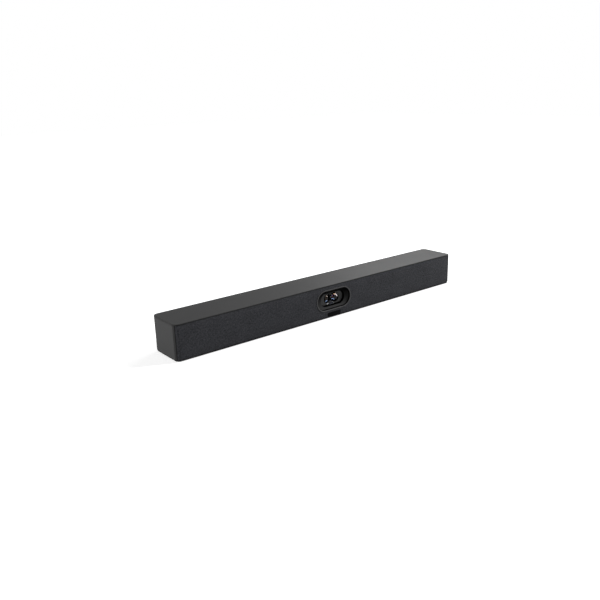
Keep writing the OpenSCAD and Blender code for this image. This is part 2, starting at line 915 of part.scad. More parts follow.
// Bracket with a clamp ring round each barrel, a crossbar and two legs on the base
bar_z = window_z - lens_r - clamp_wall - bar_t / 2;
bar_y0 = front_y + lens_deep + clamp_from + fit;
module camera_bracket() {
    color("#8d8f91")
        difference() {
            union() {
                for (s = [-1, 1])
                    on_lens(s)
                        translate([0, 0, -clamp_from - clamp_l])
                            cylinder(r = lens_r + clamp_wall, h = clamp_l);
                block([-bar_x, bar_y0, bar_z - bar_t / 2],
                      [bar_x, bar_y0 + bar_d, bar_z + bar_t / 2 + clamp_wall / 2]);
                for (s = [-1, 1]) {
                    block([s * (bar_x - bar_t / 2) - bar_t / 2, bar_y0, floor_z],
                          [s * (bar_x - bar_t / 2) + bar_t / 2, bar_y0 + bar_d, bar_z]);
                    block([s * (bar_x + foot_out / 2) - foot_out / 2 - gap, bar_y0, floor_z],
                          [s * (bar_x + foot_out / 2) + foot_out / 2, bar_y0 + bar_d, floor_z + bar_t / 2]);
                }
            }
            for (s = [-1, 1])
                on_lens(s)
                    translate([0, 0, -barrel_l])
                        cylinder(r = lens_r + fit, h = barrel_l);
        }
}

module sensor_board(side) {
    color("#1f4f3a")
        on_lens(side)
            translate([0, 0, -barrel_l - sensor_t / 2])
                cube([sensor_side, sensor_side, sensor_t], center = true);
}
module sensor_board_left() { sensor_board(-1); }
module sensor_board_right() { sensor_board(1); }

// Image sensor chips, standing inside the hollow end of each barrel
module image_sensors() {
    color("#303236")
        for (s = [-1, 1])
            on_lens(s)
                translate([0, 0, -barrel_l + sensor_chip_t / 2])
                    cube([sensor_w, sensor_h, sensor_chip_t], center = true);
}

// Flat ribbons from the sensor boards down to the main board
module camera_ribbons() {
    color("#b5772a")
        for (s = [-1, 1])
            on_lens(s)
                translate([-ribbon_w / 2, board_top + plug_h - window_z, -barrel_l - sensor_t - ribbon_t])
                    cube([ribbon_w, window_z - board_top - plug_h - sensor_side / 4, ribbon_t]);
}

// Plate behind the window that the blade slides in, and that carries the motor
module shutter_guide() {
    color("#2c2c2e")
        difference() {
            union() {
                facing(flange_back, guide_back, (guide_x0 + guide_x1) / 2, (flange_z0 + guide_z1) / 2)
                    rounded(guide_x1 - guide_x0, guide_z1 - flange_z0, guide_margin);
                for (x = [guide_x0 + guide_foot, pinion_x, guide_x1 - guide_foot])
                    block([x - guide_foot, front_y + flange_back, floor_z],
                          [x + guide_foot, front_y + guide_back, flange_z0 + guide_margin]);
            }
            block([parked_x0 - blade_travel - gap, front_y + flange_back - over,
                   window_z - blade_h / 2 - gap],
                  [parked_x1 + gap, front_y + channel_back, window_z + blade_h / 2 + gap]);
            block([parked_x0 - blade_travel - rack_tail - gap, front_y + flange_back - over,
                   rack_line_z - gear_module - gap],
                  [parked_x1 + gap, front_y + channel_back, window_z]);
            facing(0, channel_back, pinion_x, pinion_z)
                circle(tip_r + gap);
            facing(0, guide_back + over, pinion_x, pinion_z)
                circle(d = shaft_d + 2 * gap);
            facing(0, guide_back + over)
                stadium(throat_w + blade_lap, throat_h + blade_lap);
        }
}

// Blade that covers both lenses, drawn parked, with its rack below
module shutter_blade() {
    half = tooth_pitch / 4 - gear_play / 2;
    lean = tan(pressure_angle);
    tooth_top = window_z - blade_h / 2 - rack_bar;
    first = ceil((parked_x0 - rack_tail - pinion_x) / tooth_pitch);
    last = floor((parked_x1 - pinion_x) / tooth_pitch) - 1;
    color("#232325") {
        block([parked_x0, front_y + blade_front, window_z - blade_h / 2],
              [parked_x1, front_y + blade_back, window_z + blade_h / 2]);
        facing(blade_front, blade_back, 0, 0)
            union() {
                translate([parked_x0 - rack_tail, tooth_top])
                    square([blade_w + rack_tail, rack_bar]);
                for (i = [first:last])
                    translate([pinion_x + (i + 1 / 2) * tooth_pitch, rack_line_z])
                        polygon([
                            [-half - root_share * gear_module * lean, root_share * gear_module],
                            [-half + gear_module * lean, -gear_module],
                            [half - gear_module * lean, -gear_module],
                            [half + root_share * gear_module * lean, root_share * gear_module]
                        ]);
            }
    }
}

// Half angle of a pinion tooth at a radius, for flanks that roll on a base circle
function roll(a) = tan(a) - a / tooth_arc;
function half_angle(r) =
    90 / pinion_teeth - gear_play / 2 / pitch_r * tooth_arc
    + tooth_arc * (roll(pressure_angle) - roll(acos(min(1, gear_base_r / max(r, gear_base_r)))));
flank_steps = 5;
flank_rs = [for (i = [0:flank_steps]) gear_base_r + (tip_r - gear_base_r) * i / flank_steps];
module pinion_outline() {
    polygon([
        for (t = [0:pinion_teeth - 1])
            let (mid = 90 - t * 360 / pinion_teeth)
            each [
                root_r * [cos(mid + half_angle(root_r)), sin(mid + half_angle(root_r))],
                for (r = flank_rs) r * [cos(mid + half_angle(r)), sin(mid + half_angle(r))],
                for (i = [flank_steps:-1:0])
                    flank_rs[i] * [cos(mid - half_angle(flank_rs[i])), sin(mid - half_angle(flank_rs[i]))],
                root_r * [cos(mid - half_angle(root_r)), sin(mid - half_angle(root_r))]
            ]
    ]);
}

module shutter_pinion() {
    color("#d9d6cc") {
        facing(blade_front, blade_back, pinion_x, pinion_z)
            pinion_outline();
        facing(blade_front, guide_back + shaft_grip, pinion_x, pinion_z)
            circle(d = shaft_d);
    }
}

module shutter_motor() {
    color("#9a9c9e")
        difference() {
            union() {
                facing(guide_back, guide_back + motor_l, pinion_x, pinion_z)
                    circle(d = motor_d);
                facing(guide_back + motor_l, guide_back + motor_l + motor_cap, pinion_x, pinion_z)
                    circle(d = motor_d * motor_cap_share);
            }
            facing(guide_back - over, guide_back + shaft_grip + gap, pinion_x, pinion_z)
                circle(d = shaft_d + 2 * fit);
        }
}

// Main board, with holes for its screws
board_hole_xs = [-board_left + hole_in, board_right - hole_in];
board_hole_ys = [board_y0 + hole_in, board_y1 - hole_in];
module at_board_holes() {
    for (x = board_hole_xs, y = board_hole_ys)
        translate([x, y, 0])
            children();
}

module main_board() {
    color("#1f4f3a")
        difference() {
            block([-board_left, board_y0, board_z], [board_right, board_y1, board_top]);
            at_board_holes()
                translate([0, 0, board_z - over])
                    cylinder(d = board_screw_d + 2 * gap, h = pcb_t + 2 * over);
        }
}

module board_standoffs() {
    color("#c2a25a")
        at_board_holes()
            translate([0, 0, floor_z])
                difference() {
                    cylinder(d = standoff_d, h = board_up, $fn = 6);
                    translate([0, 0, board_up - board_screw_l])
                        cylinder(d = board_screw_d, h = board_up);
                }
}

module board_screws() {
    color("#b9bbbd")
        at_board_holes() {
            translate([0, 0, board_top])
                cylinder(d = 2 * board_screw_d - gap, h = board_head_h);
            translate([0, 0, board_z - board_screw_l + gap])
                cylinder(d = board_screw_d - 2 * fit, h = board_screw_l - gap + pcb_t);
        }
}

module processor() {
    color("#26282b")
        translate([chip_x, chip_y, board_top + chip_t / 2])
            cube([chip_side, chip_side, chip_t], center = true);
}

module thermal_pad() {
    color("#9fb4c4")
        translate([chip_x, chip_y, board_top + chip_t + pad_t / 2])
            cube([chip_side, chip_side, pad_t], center = true);
}

// Finned heat sink on the pad
module heat_sink() {
    z = board_top + chip_t + pad_t;
    sink_d = board_d - 2 * gap;
    step = (sink_w - fin_t) / (fin_count - 1);
    color("#3a3c3e") {
        block([chip_x - sink_w / 2, chip_y - sink_d / 2, z],
              [chip_x + sink_w / 2, chip_y + sink_d / 2, z + sink_base]);
        for (i = [0:fin_count - 1])
            block([chip_x - sink_w / 2 + i * step, chip_y - sink_d / 2, z],
                  [chip_x - sink_w / 2 + i * step + fin_t, chip_y + sink_d / 2, z + sink_h]);
    }
}

// Smaller chips and the ribbon connectors
module board_chips() {
    color("#2b2d30") {
        for (i = [-1, 0, 1])
            translate([i * small_chip_pitch, board_y0 + gap + small_chip * small_chip_share / 2,
                       board_top + small_chip_t / 2])
                cube([small_chip, small_chip * small_chip_share, small_chip_t], center = true);
        for (s = [-1, 1])
            on_lens(s)
                translate([-ribbon_w / 2 - gap, board_top - window_z,
                           -barrel_l - sensor_t - ribbon_t / 2 - plug_d / 2])
                    cube([ribbon_w + 2 * gap, plug_h, plug_d]);
        block([mic_ribbon_x - ribbon_w / 2 - gap, board_y0 + gap, board_top],
              [mic_ribbon_x + ribbon_w / 2 + gap, board_y0 + gap + plug_d, board_top + plug_h]);
        for (x = [-board_left + lead_in, board_right - lead_in])
            block([x - plug_d / 2, chip_y - plug_d / 2, board_top],
                  [x + plug_d / 2, chip_y + plug_d / 2, board_top + plug_h]);
    }
}

// Puts a socket's parts behind its mouth, which lies at the recess's face: X across, Z up from the board
module at_port(i) {
    translate([port_x(i), socket_out, board_top])
        children();
}

// Shell of a socket, hollow from its mouth
module socket_shell(size, side, low, high, back) {
    difference() {
        block([-size[0] / 2, -size[2], 0], [size[0] / 2, 0, size[1]]);
        block([side - size[0] / 2, back - size[2], low], [size[0] / 2 - side, over, size[1] - high]);
    }
}

module dc_socket() {
    color("#1b1b1c")
        at_port(dc) {
            difference() {
                block([-dc_w / 2, -dc_l, 0], [dc_w / 2, 0, dc_h]);
                translate([0, over, dc_h / 2])
                    rotate([90, 0, 0])
                        cylinder(d = dc_hole_d, h = dc_l - dc_back + over);
            }
            translate([0, -shell_t, dc_h / 2])
                rotate([90, 0, 0])
                    cylinder(d = dc_pin_d, h = dc_l - dc_back);
        }
}

// Tongue across a socket's mouth, its middle at a height
module tongue(size, t, z) {
    block([2 * shell_t - size[0] / 2, shell_t - size[2], z - t / 2],
          [size[0] / 2 - 2 * shell_t, -2 * shell_t, z + t / 2]);
}

module hdmi_socket() {
    color("#b4b6b8")
        at_port(hdmi) {
            socket_shell(ports[hdmi], shell_t, shell_t, shell_t, 2 * shell_t);
            tongue(ports[hdmi], hdmi_tongue_t, hdmi_h / 2);
        }
}

module usb_a_socket() {
    color("#b4b6b8")
        at_port(usb_a) {
            socket_shell(ports[usb_a], shell_t, shell_t, shell_t, 2 * shell_t);
            tongue(ports[usb_a], usb_a_tongue_t, usb_a_h * usb_a_tongue_share);
        }
}

module usb_c_socket() {
    color("#b4b6b8")
        at_port(usb_c)
            translate([0, 0, usb_c_h / 2])
                rotate([90, 0, 0]) {
                    difference() {
                        linear_extrude(usb_c_l)
                            stadium(usb_c_w, usb_c_h);
                        translate([0, 0, -over])
                            linear_extrude(usb_c_l - 2 * shell_t + over)
                                stadium(usb_c_w - 2 * shell_t, usb_c_h - 2 * shell_t);
                    }
                    translate([0, 0, 2 * shell_t])
                        linear_extrude(usb_c_l - 3 * shell_t)
                            square([usb_c_tongue_w, usb_c_tongue_t], center = true);
                }
}

module ethernet_socket() {
    color("#aeb0b2")
        at_port(lan)
            difference() {
                socket_shell(ports[lan], lan_wall, lan_wall + latch_h, lan_top, 2 * lan_wall);
                block([-latch_w / 2, 2 * lan_wall - lan_l, lan_wall], [latch_w / 2, over, lan_h / 2]);
            }
}

// Reset switch on the board and the button that reaches through the recess wall
module reset_switch() {
    color("#222224")
        difference() {
            block([reset_x - reset_body / 2, board_y1 - reset_body, board_top],
                  [reset_x + reset_body / 2, board_y1, reset_z + reset_body / 2]);
            translate([reset_x, board_y1 + over, reset_z])
                rotate([90, 0, 0])
                    cylinder(d = reset_d + 2 * gap, h = reset_seat + reset_travel + gap + over);
        }
}

module reset_button() {
    color("#3a3a3c")
        translate([reset_x, socket_out + reset_travel, reset_z])
            rotate([90, 0, 0])
                cylinder(d = reset_d, h = reset_travel + socket_out - board_y1 + reset_seat);
}

// Microphone board behind the front frame, its microphones and its ribbon
module mic_board() {
    color("#1f4f3a")
        difference() {
            block([-mic_l / 2, front_y + frame_back, mic_z - mic_h / 2],
                  [mic_l / 2, front_y + frame_back + mic_t, mic_z + mic_h / 2]);
            for (x = mic_xs)
                facing(0, frame_back + mic_t + over, x, mic_z)
                    circle(d = mic_hole_d);
        }
}

module mic_capsules() {
    color("#c9b37a")
        for (x = mic_xs)
            translate([x, front_y + frame_back + mic_t + mic_can_t / 2, mic_z])
                cube([mic_can_w, mic_can_t, mic_can_h], center = true);
}

module mic_ribbon() {
    y0 = front_y + frame_back + mic_t;
    y1 = board_y0 + gap + plug_d / 2;
    z0 = board_top + plug_h;
    z1 = mic_z - mic_h / 2;
    color("#b5772a") {
        block([mic_ribbon_x - ribbon_w / 2, y0, z1], [mic_ribbon_x + ribbon_w / 2, y1, z1 + ribbon_t]);
        block([mic_ribbon_x - ribbon_w / 2, y1 - ribbon_t, z0],
              [mic_ribbon_x + ribbon_w / 2, y1, z1 + ribbon_t]);
    }
}

// Sealed box of a loudspeaker
module speaker_box(side) {
    x = side * speaker_x;
    half_l = (box_x1 - box_x0) / 2;
    low = [x - half_l, box_front_y, floor_z];
    high = [x + half_l, back_y - wall - box_behind, ceiling_z - gap];
    color("#242426")
        difference() {
            block(low, high);
            block(low + box_wall * [1, 1, 1], high - box_wall * [1, 1, 1]);
            facing(0, box_deep + 2 * box_wall, x, driver_z)
                circle(basket_r + gap);
        }
}
module speaker_box_left() { speaker_box(-1); }
module speaker_box_right() { speaker_box(1); }

// Puts a turned part on a driver's axis: Z runs back from the box's front face
module on_driver(side) {
    translate([side * speaker_x, box_front_y, driver_z])
        rotate([-90, 0, 0])
            children();
}

module at_driver_screws(side) {
    for (sx = [-1, 1], sy = [-1, 1])
        on_driver(side)
            translate([sx * (driver_side / 2 - driver_hole), sy * (driver_side / 2 - driver_hole), 0])
                children();
}

// Basket: a square flange and an open cone down to the magnet
module speaker_basket(side) {
    neck_r = magnet_d / 2 - basket_t;
    color("#2f3032")
        difference() {
            union() {
                on_driver(side)
                    difference() {
                        translate([0, 0, -driver_flange])
                            linear_extrude(driver_flange)
                                rounded(driver_side, driver_side, driver_hole);
                        translate([0, 0, -driver_flange - over])
                            cylinder(r = basket_r - basket_t, h = driver_flange + 2 * over);
                    }
                on_driver(side)
                    rotate_extrude()
                        polygon([
                            [basket_r - basket_t, -driver_flange],
                            [basket_r, -driver_flange],
                            [basket_r, 0],
                            [neck_r + basket_t, basket_deep],
                            [plate_hole_r, basket_deep],
                            [plate_hole_r, basket_deep - basket_t],
                            [neck_r, basket_deep - basket_t],
                            [basket_r - basket_t, 0]
                        ]);
            }
            for (i = [0:basket_cuts - 1])
                on_driver(side)
                    rotate((i + 1 / 2) * 180 / basket_cuts)
                        translate([0, 0, basket_deep / 2])
                            cube([2 * basket_r + over, basket_window, basket_deep - 4 * basket_t],
                                 center = true);
            at_driver_screws(side)
                translate([0, 0, -driver_flange - over])
                    cylinder(d = driver_screw_d + gap, h = driver_flange + 2 * over);
        }
}
module speaker_basket_left() { speaker_basket(-1); }
module speaker_basket_right() { speaker_basket(1); }

module driver_screws() {
    color("#b9bbbd")
        for (s = [-1, 1])
            at_driver_screws(s) {
                translate([0, 0, -driver_flange - driver_screw_d / 2])
                    cylinder(d = 2 * driver_screw_d, h = driver_screw_d / 2);
                translate([0, 0, -driver_flange - driver_screw_d / 4])
                    cylinder(d = driver_screw_d, h = driver_flange + driver_screw_d / 4);
            }
}

// Magnet between its steel plates, with the pole through the middle
module speaker_magnet(side) {
    color("#4d4f52")
        on_driver(side)
            translate([0, 0, basket_deep])
                rotate_extrude() {
                    translate([plate_hole_r, 0])
                        square([magnet_d / 2 - plate_hole_r, pole_t]);
                    translate([plate_hole_r + 2 * coil_gap, pole_t])
                        square([magnet_d / 2 - plate_hole_r - 2 * coil_gap, magnet_l]);
                    translate([0, pole_t + magnet_l])
                        square([magnet_d / 2, pole_t]);
                    square([pole_r, pole_t + magnet_l]);
                }
}
module speaker_magnet_left() { speaker_magnet(-1); }
module speaker_magnet_right() { speaker_magnet(1); }

// Cone with its flat edge, the voice coil's former and the dust cap
module speaker_cone(side) {
    edge = cone_d / 2;
    lip = edge + lip_w / 2;
    cap_r = coil_r + cone_t;
    coil_end = basket_deep + pole_t + cone_travel;
    color("#2a2b2d")
        on_driver(side) {
            rotate_extrude()
                polygon([
                    [lip, -driver_flange],
                    [lip, -driver_flange + cone_t],
                    [edge - cone_t / 2, -driver_flange + cone_t],
                    [coil_r, cone_deep],
                    [coil_r, coil_end],
                    [coil_r - coil_t, coil_end],
                    [coil_r - coil_t, cone_deep - 2 * cone_t],
                    [edge - lip_w, -driver_flange],
                ]);
            translate([0, 0, cone_deep - 3 * cone_t])
                rotate_extrude()
                    intersection() {
                        difference() {
                            circle(cap_r);
                            circle(cap_r - cone_t);
                        }
                        translate([0, -cap_r])
                            square([cap_r, cap_r + cone_t / 2]);
                    }
        }
}
module speaker_cone_left() { speaker_cone(-1); }
module speaker_cone_right() { speaker_cone(1); }

// Rolled rubber surround from the cone's edge to the flange
module speaker_surround(side) {
    mid = cone_d / 2 + roll_d / 2;
    color("#18181a")
        on_driver(side)
            rotate_extrude() {
                translate([mid, -driver_flange - roll_t])
                    intersection() {
                        difference() {
                            circle(roll_d / 2);
                            circle(roll_d / 2 - roll_t);
                        }
                        translate([-roll_d, -roll_d])
                            square([2 * roll_d, roll_d]);
                    }
                for (s = [-1, 1])
                    translate([mid + s * (roll_d / 2 + lip_w / 4), -driver_flange - roll_t / 2])
                        square([lip_w, roll_t], center = true);
            }
}
module speaker_surround_left() { speaker_surround(-1); }
module speaker_surround_right() { speaker_surround(1); }

// Leads from the speaker boxes to the main board, in straight runs
module lead_run(a, b) {
    along = b - a;
    len = norm(along);
    translate(a)
        rotate([0, acos(along[2] / len), atan2(along[1], along[0])])
            cylinder(d = lead_d, h = len);
    translate(b)
        sphere(d = lead_d);
}

module wire_leads() {
    rise = board_top + plug_h + lead_d / 2;
    color("#7a1f1f") {
        lead_run([-box_x0, chip_y, rise], [-board_left + lead_in, chip_y, rise]);
        lead_run([box_x0, chip_y, rise], [board_right - lead_in, chip_y, rise]);
    }
}

module tripod_insert() {
    color("#c2a25a")
        translate([0, mid_y, base_z])
            difference() {
                cylinder(d = tripod_od, h = tripod_l);
                translate([0, 0, -over])
                    cylinder(d = tripod_d, h = tripod_l + over - boss_top / 2);
            }
}

module bracket_inserts() {
    color("#c2a25a")
        at_brackets()
            translate([0, 0, base_z])
                difference() {
                    cylinder(d = bracket_od, h = bracket_l);
                    translate([0, 0, -over])
                        cylinder(d = bracket_d, h = bracket_l + over - boss_top / 2);
                }
}

module case_screws() {
    color("#6f7173")
        at_pillars() {
            translate([0, 0, base_z])
                cylinder(d = screw_head_d, h = screw_head_h);
            translate([0, 0, base_z])
                cylinder(d = screw_d - 2 * fit, h = floor_z - base_z + screw_grip);
        }
}

top_cover();
bottom_cover();
rear_housing();
grille_frame();
grille_fabric();
window_rim();
window_bezel();
lens_mask();
status_light_pipe();
badge_plate();
lens_dome_left();
lens_dome_right();
lens_ring_left();
lens_ring_right();
lens_barrel_left();
lens_barrel_right();
camera_bracket();
sensor_board_left();
sensor_board_right();
image_sensors();
camera_ribbons();
shutter_guide();
shutter_blade();
shutter_pinion();
shutter_motor();
main_board();
processor();
thermal_pad();
heat_sink();
board_chips();
board_standoffs();
board_screws();
dc_socket();
usb_c_socket();
usb_a_socket();
hdmi_socket();
ethernet_socket();
reset_switch();
reset_button();
lock_plate();
mic_board();
mic_capsules();
mic_ribbon();
speaker_box_left();
speaker_box_right();
speaker_basket_left();
speaker_basket_right();
speaker_magnet_left();
speaker_magnet_right();
speaker_cone_left();
speaker_cone_right();
speaker_surround_left();
speaker_surround_right();
driver_screws();
wire_leads();
rubber_feet();
tripod_insert();
bracket_inserts();
case_screws();
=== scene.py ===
import math

import bmesh
import bpy
from mathutils import Matrix, Vector


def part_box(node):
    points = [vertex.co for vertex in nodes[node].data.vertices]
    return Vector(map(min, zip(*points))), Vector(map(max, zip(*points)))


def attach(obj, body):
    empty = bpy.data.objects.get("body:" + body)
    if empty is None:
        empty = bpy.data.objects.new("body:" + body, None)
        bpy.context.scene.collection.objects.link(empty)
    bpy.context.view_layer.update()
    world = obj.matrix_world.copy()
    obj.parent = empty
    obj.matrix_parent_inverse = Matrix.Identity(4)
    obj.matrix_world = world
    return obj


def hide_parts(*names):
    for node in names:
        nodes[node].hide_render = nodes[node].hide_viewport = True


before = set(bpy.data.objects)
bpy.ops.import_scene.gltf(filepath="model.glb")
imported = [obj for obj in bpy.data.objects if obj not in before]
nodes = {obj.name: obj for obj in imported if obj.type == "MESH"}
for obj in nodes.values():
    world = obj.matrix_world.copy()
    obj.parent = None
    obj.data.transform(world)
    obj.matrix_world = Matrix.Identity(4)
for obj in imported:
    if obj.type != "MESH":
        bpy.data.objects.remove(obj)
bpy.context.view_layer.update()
scene = bpy.context.scene

# The view of the photograph: metres, degrees and millimetres of lens
view = {
    "place": (-0.713947, -0.848635, 0.374076),
    "azimuth": -38.188,
    "elevation": 17.541,
    "roll": -1.611,
    "lens": 40.458,
    "sensor": 36,
}


def makeCamera():
    around, above, lean = (math.radians(view[k]) for k in ("azimuth", "elevation", "roll"))
    back = Vector((math.sin(around) * math.cos(above), -math.cos(around) * math.cos(above), math.sin(above)))
    right = (-back).cross(Vector((0, 0, 1))).normalized()
    up = right.cross(-back)
    axes = Matrix((
        right * math.cos(lean) + up * math.sin(lean),
        up * math.cos(lean) - right * math.sin(lean),
        back,
    )).transposed()
    data = bpy.data.cameras.new("studioCamera")
    data.lens = view["lens"]
    data.sensor_width = view["sensor"]
    data.clip_start = 0.01
    camera = bpy.data.objects.new("studioCamera", data)
    camera.matrix_world = Matrix.Translation(view["place"]) @ axes.to_4x4()
    scene.collection.objects.link(camera)
    scene.camera = camera


makeCamera()
scene.view_settings.view_transform = "Standard"
print("camera set")


# Shader maths: a socket, and the maths nodes that an expression adds
class Value:
    def __init__(self, finish, socket):
        self.finish = finish
        self.socket = socket

    def maths(self, operation, *values):
        return self.finish.node("ShaderNodeMath", {"operation": operation}, dict(enumerate(values)))

    def __add__(self, other):
        return self.maths("ADD", self, other)

    def __sub__(self, other):
        return self.maths("SUBTRACT", self, other)

    def __rsub__(self, other):
        return self.maths("SUBTRACT", other, self)

    def __mul__(self, other):
        return self.maths("MULTIPLY", self, other)

    def __truediv__(self, other):
        return self.maths("DIVIDE", self, other)

    def __rtruediv__(self, other):
        return self.maths("DIVIDE", other, self)

    def __pow__(self, other):
        return self.maths("POWER", self, other)

    def __gt__(self, other):
        return self.maths("GREATER_THAN", self, other)

    def __lt__(self, other):
        return self.maths("LESS_THAN", self, other)

    def __abs__(self):
        return self.maths("ABSOLUTE", self)

    __radd__ = __add__
    __rmul__ = __mul__

    def sine(self):
        return self.maths("SINE", self)

    def floor(self):
        return self.maths("FLOOR", self)

    def atMost(self, other):
        return self.maths("MINIMUM", self, other)

    def atLeast(self, other):
        return self.maths("MAXIMUM", self, other)

    def clamped(self):
        return self.atLeast(0.0).atMost(1.0)


# One material or world, whose nodes are all made with node()
class Finish:
    def __init__(self, name, world=None):
        self.data = world or bpy.data.materials.new(name)
        self.data.use_nodes = True
        self.tree = self.data.node_tree
        self.tree.nodes.clear()
        self.out = self.tree.nodes.new("ShaderNodeOutputWorld" if world else "ShaderNodeOutputMaterial")

    def node(self, kind, settings=None, values=None, out=0):
        made = self.tree.nodes.new(kind)
        for key, value in (settings or {}).items():
            if key == "stops":
                self.setStops(made.color_ramp.elements, value)
            else:
                setattr(made, key, value)
        for key, value in (values or {}).items():
            self.link(made.inputs[key], value)
        return Value(self, made.outputs[out])

    def setStops(self, ramp, stops):   # a new ramp has two already
        for index, (place, shade) in enumerate(stops):
            stop = ramp[index] if index < 2 else ramp.new(place)
            stop.position = place
            stop.color = (*shade, 1)

    def link(self, socket, value):
        if isinstance(value, Value):
            self.tree.links.new(value.socket, socket)
        elif hasattr(value, "__len__") and socket.type == "RGBA":
            socket.default_value = (*value, 1)[:4]
        else:
            socket.default_value = value

    def surface(self, shader):
        self.link(self.out.inputs["Surface"], shader)
        return self.data

    def principled(self, values):
        return self.surface(self.node("ShaderNodeBsdfPrincipled", None, values))

    def place(self, scale=(1, 1, 1), uv=None):   # on the object, or on a map of its own
        if uv:
            start = self.node("ShaderNodeUVMap", {"uv_map": uv})
        else:
            start = self.node("ShaderNodeTexCoord", out=3)
        return self.node("ShaderNodeMapping", None, {"Vector": start, "Scale": scale})

    def parts(self, vector):
        split = self.node("ShaderNodeSeparateXYZ", None, {0: vector})
        return [Value(self, s) for s in split.socket.node.outputs]

    def fromMiddle(self, vector):   # distance across X and Y
        x, y = self.parts(vector)[:2]
        return (x * x + y * y) ** 0.5

    def join(self, x, y, z=0.0):
        return self.node("ShaderNodeCombineXYZ", None, {0: x, 1: y, 2: z})

    def noise(self, vector, size, detail=2.0, rough=0.5):   # size is the width of one cloud
        return self.node("ShaderNodeTexNoise", None,
                         {"Vector": vector, "Scale": 1 / size, "Detail": detail, "Roughness": rough})

    def cells(self, vector, size, spread=1.0, feature="F1"):
        return self.node("ShaderNodeTexVoronoi", {"feature": feature},
                         {"Vector": vector, "Scale": 1 / size, "Randomness": spread})

    def between(self, factor, low, high):
        return self.node("ShaderNodeMapRange", None, {0: factor, 1: 0.0, 2: 1.0, 3: low, 4: high})

    def mix(self, factor, first, second):
        return self.node("ShaderNodeMix", {"data_type": "RGBA"}, {0: factor, 6: first, 7: second}, out=2)

    def soft(self, radius):   # normals as if the edges were rounded
        return self.node("ShaderNodeBevel", {"samples": 4}, {"Radius": radius})

    def relief(self, height, depth, strength=1.0, normal=None):
        values = {"Height": height, "Distance": depth, "Strength": strength}
        if normal:
            values["Normal"] = normal
        return self.node("ShaderNodeBump", None, values)

    def edges(self, radius):   # 1 on convex and concave edges, 0 on flats
        flat = self.node("ShaderNodeNewGeometry", out=3)
        turned = self.node("ShaderNodeVectorMath", {"operation": "DOT_PRODUCT"},
                           {0: self.soft(radius), 1: flat}, out=1)
        return (1 - turned).atLeast(0.0)

    def seenRays(self):   # 1 for what the camera sees, also in mirrors and through glass
        path = self.node("ShaderNodeLightPath").socket.node.outputs
        rays = ("Is Camera Ray", "Is Glossy Ray", "Is Transmission Ray")
        seen, mirrored, through = (Value(self, path[ray]) for ray in rays)
        return seen.atLeast(mirrored).atLeast(through)


def scaled(shade, share):
    return tuple(min(1, c * share) for c in shade)


paintedShadeBlack = (0.0008, 0.0008, 0.0008)
white = (1, 1, 1)


# Finishes
# Moulded plastic: a fine spark grain, a faint broad cloud, and edges lighter above 1 (rubbed wear and painted
# highlight) and darker below 1 (painted shade). With a face it is satin inside a stadium and black outside, a
# painted shadow round it, and with a fade it turns black upwards, a painted shade
def mouldedPlastic(name, shade, rough=0.5, grain=0.00045, depth=0.00002, cloud=0.06,
                   edge=0.0004, edgeWearAndPaintedLight=1.25, gloss=0.5, face=None, fade=None):
    f = Finish(name)
    at = f.place()
    fine = f.noise(at, grain, 3.0, 0.6)
    broad = f.noise(at, 0.045, 3.0)
    speck = f.noise(at, grain * 2.2)
    base = f.mix(broad * 0.6 + speck * 0.4, scaled(shade, 1 - cloud), scaled(shade, 1 + cloud))
    # edges lighter above 1 (rubbed wear and painted highlight), darker below 1 (painted shade)
    base = f.mix((f.edges(edge) * 2.2).atMost(1.0), base, scaled(shade, edgeWearAndPaintedLight))
    coat = 0.0
    if face:
        x, z = f.parts(at)[::2]
        past = (abs(x) - (face["wide"] - face["high"]) / 2).atLeast(0.0)
        outside = (past * past + (z - face["level"]) ** 2) ** 0.5 > face["high"] / 2
        # outside the face it is painted black: a painted shadow round the mask
        base = f.mix(outside, base, paintedShadeBlack)
        coat = (1 - outside) * face["coat"]
    if fade:
        level = f.parts(at)[2]
        # painted shade: black towards the top
        base = f.mix(((level - fade["from"]) / (fade["to"] - fade["from"])).clamped(), base, paintedShadeBlack)
    return f.principled({
        "Base Color": base,
        "Roughness": f.between(fine * 0.5 + broad * 0.5, rough - 0.06, rough + 0.06),
        "Specular IOR Level": gloss,
        "Coat Weight": coat,
        "Coat Roughness": 0.32,
        "Normal": f.relief(fine + f.cells(at, grain * 1.6) * 0.5, depth, 0.5, f.soft(edge)),
    })


# Plain woven cloth on its own length and height, in metres, with painted shade low in the weave and a painted
# shadow at both ends, where it is tucked in
def wovenCloth(name, dark, light, pitch, depth, ends, endShadeWidth):
    f = Finish(name)
    at = f.place(uv="weave")
    along, up = f.parts(at)[:2]
    sway = f.noise(at, pitch * 6) * 0.35
    warp, weft = along / pitch + sway, up / pitch + sway
    overWarp, overWeft = (warp * math.pi).sine(), (weft * math.pi).sine()
    cross = overWarp * overWeft
    warpHigh = (abs(overWarp) + cross) * 0.5
    weftHigh = (abs(overWeft) - cross) * 0.5
    height = warpHigh.atLeast(weftHigh)
    onWarp = warpHigh > weftHigh
    warpYarn = f.noise(f.join(warp.floor() * 3.7, weft * 0.22), 1.0)
    weftYarn = f.noise(f.join(warp * 0.22, weft.floor() * 3.7, 5.0), 1.0)
    yarn = onWarp * warpYarn + (1 - onWarp) * weftYarn
    cloud = f.noise(at, 0.0026, 3.0, 0.7)
    broad = f.noise(at, 0.03)
    hair = f.noise(f.join(along * 5, up), 0.0004)
    tone = (yarn * 0.4 + cloud * 0.5 + broad * 0.1 - 0.36) * 3.6
    tone = (tone + (hair - 0.5) * 0.3).clamped()
    # painted shadow where the ends tuck in
    endShade = ((ends - abs(along)) / endShadeWidth).atLeast(0.2).atMost(1.0)
    lit = (height * 1.6).atMost(1.0) * endShade
    return f.principled({
        "Base Color": f.mix(lit, scaled(dark, 0.3), f.mix(tone, dark, light)),
        "Roughness": f.between(tone, 0.95, 0.8),
        "Specular IOR Level": 0.1,
        "Sheen Weight": 0.04,
        "Sheen Roughness": 0.4,
        "Normal": f.relief(height + hair * 0.12, depth, 0.9),
    })
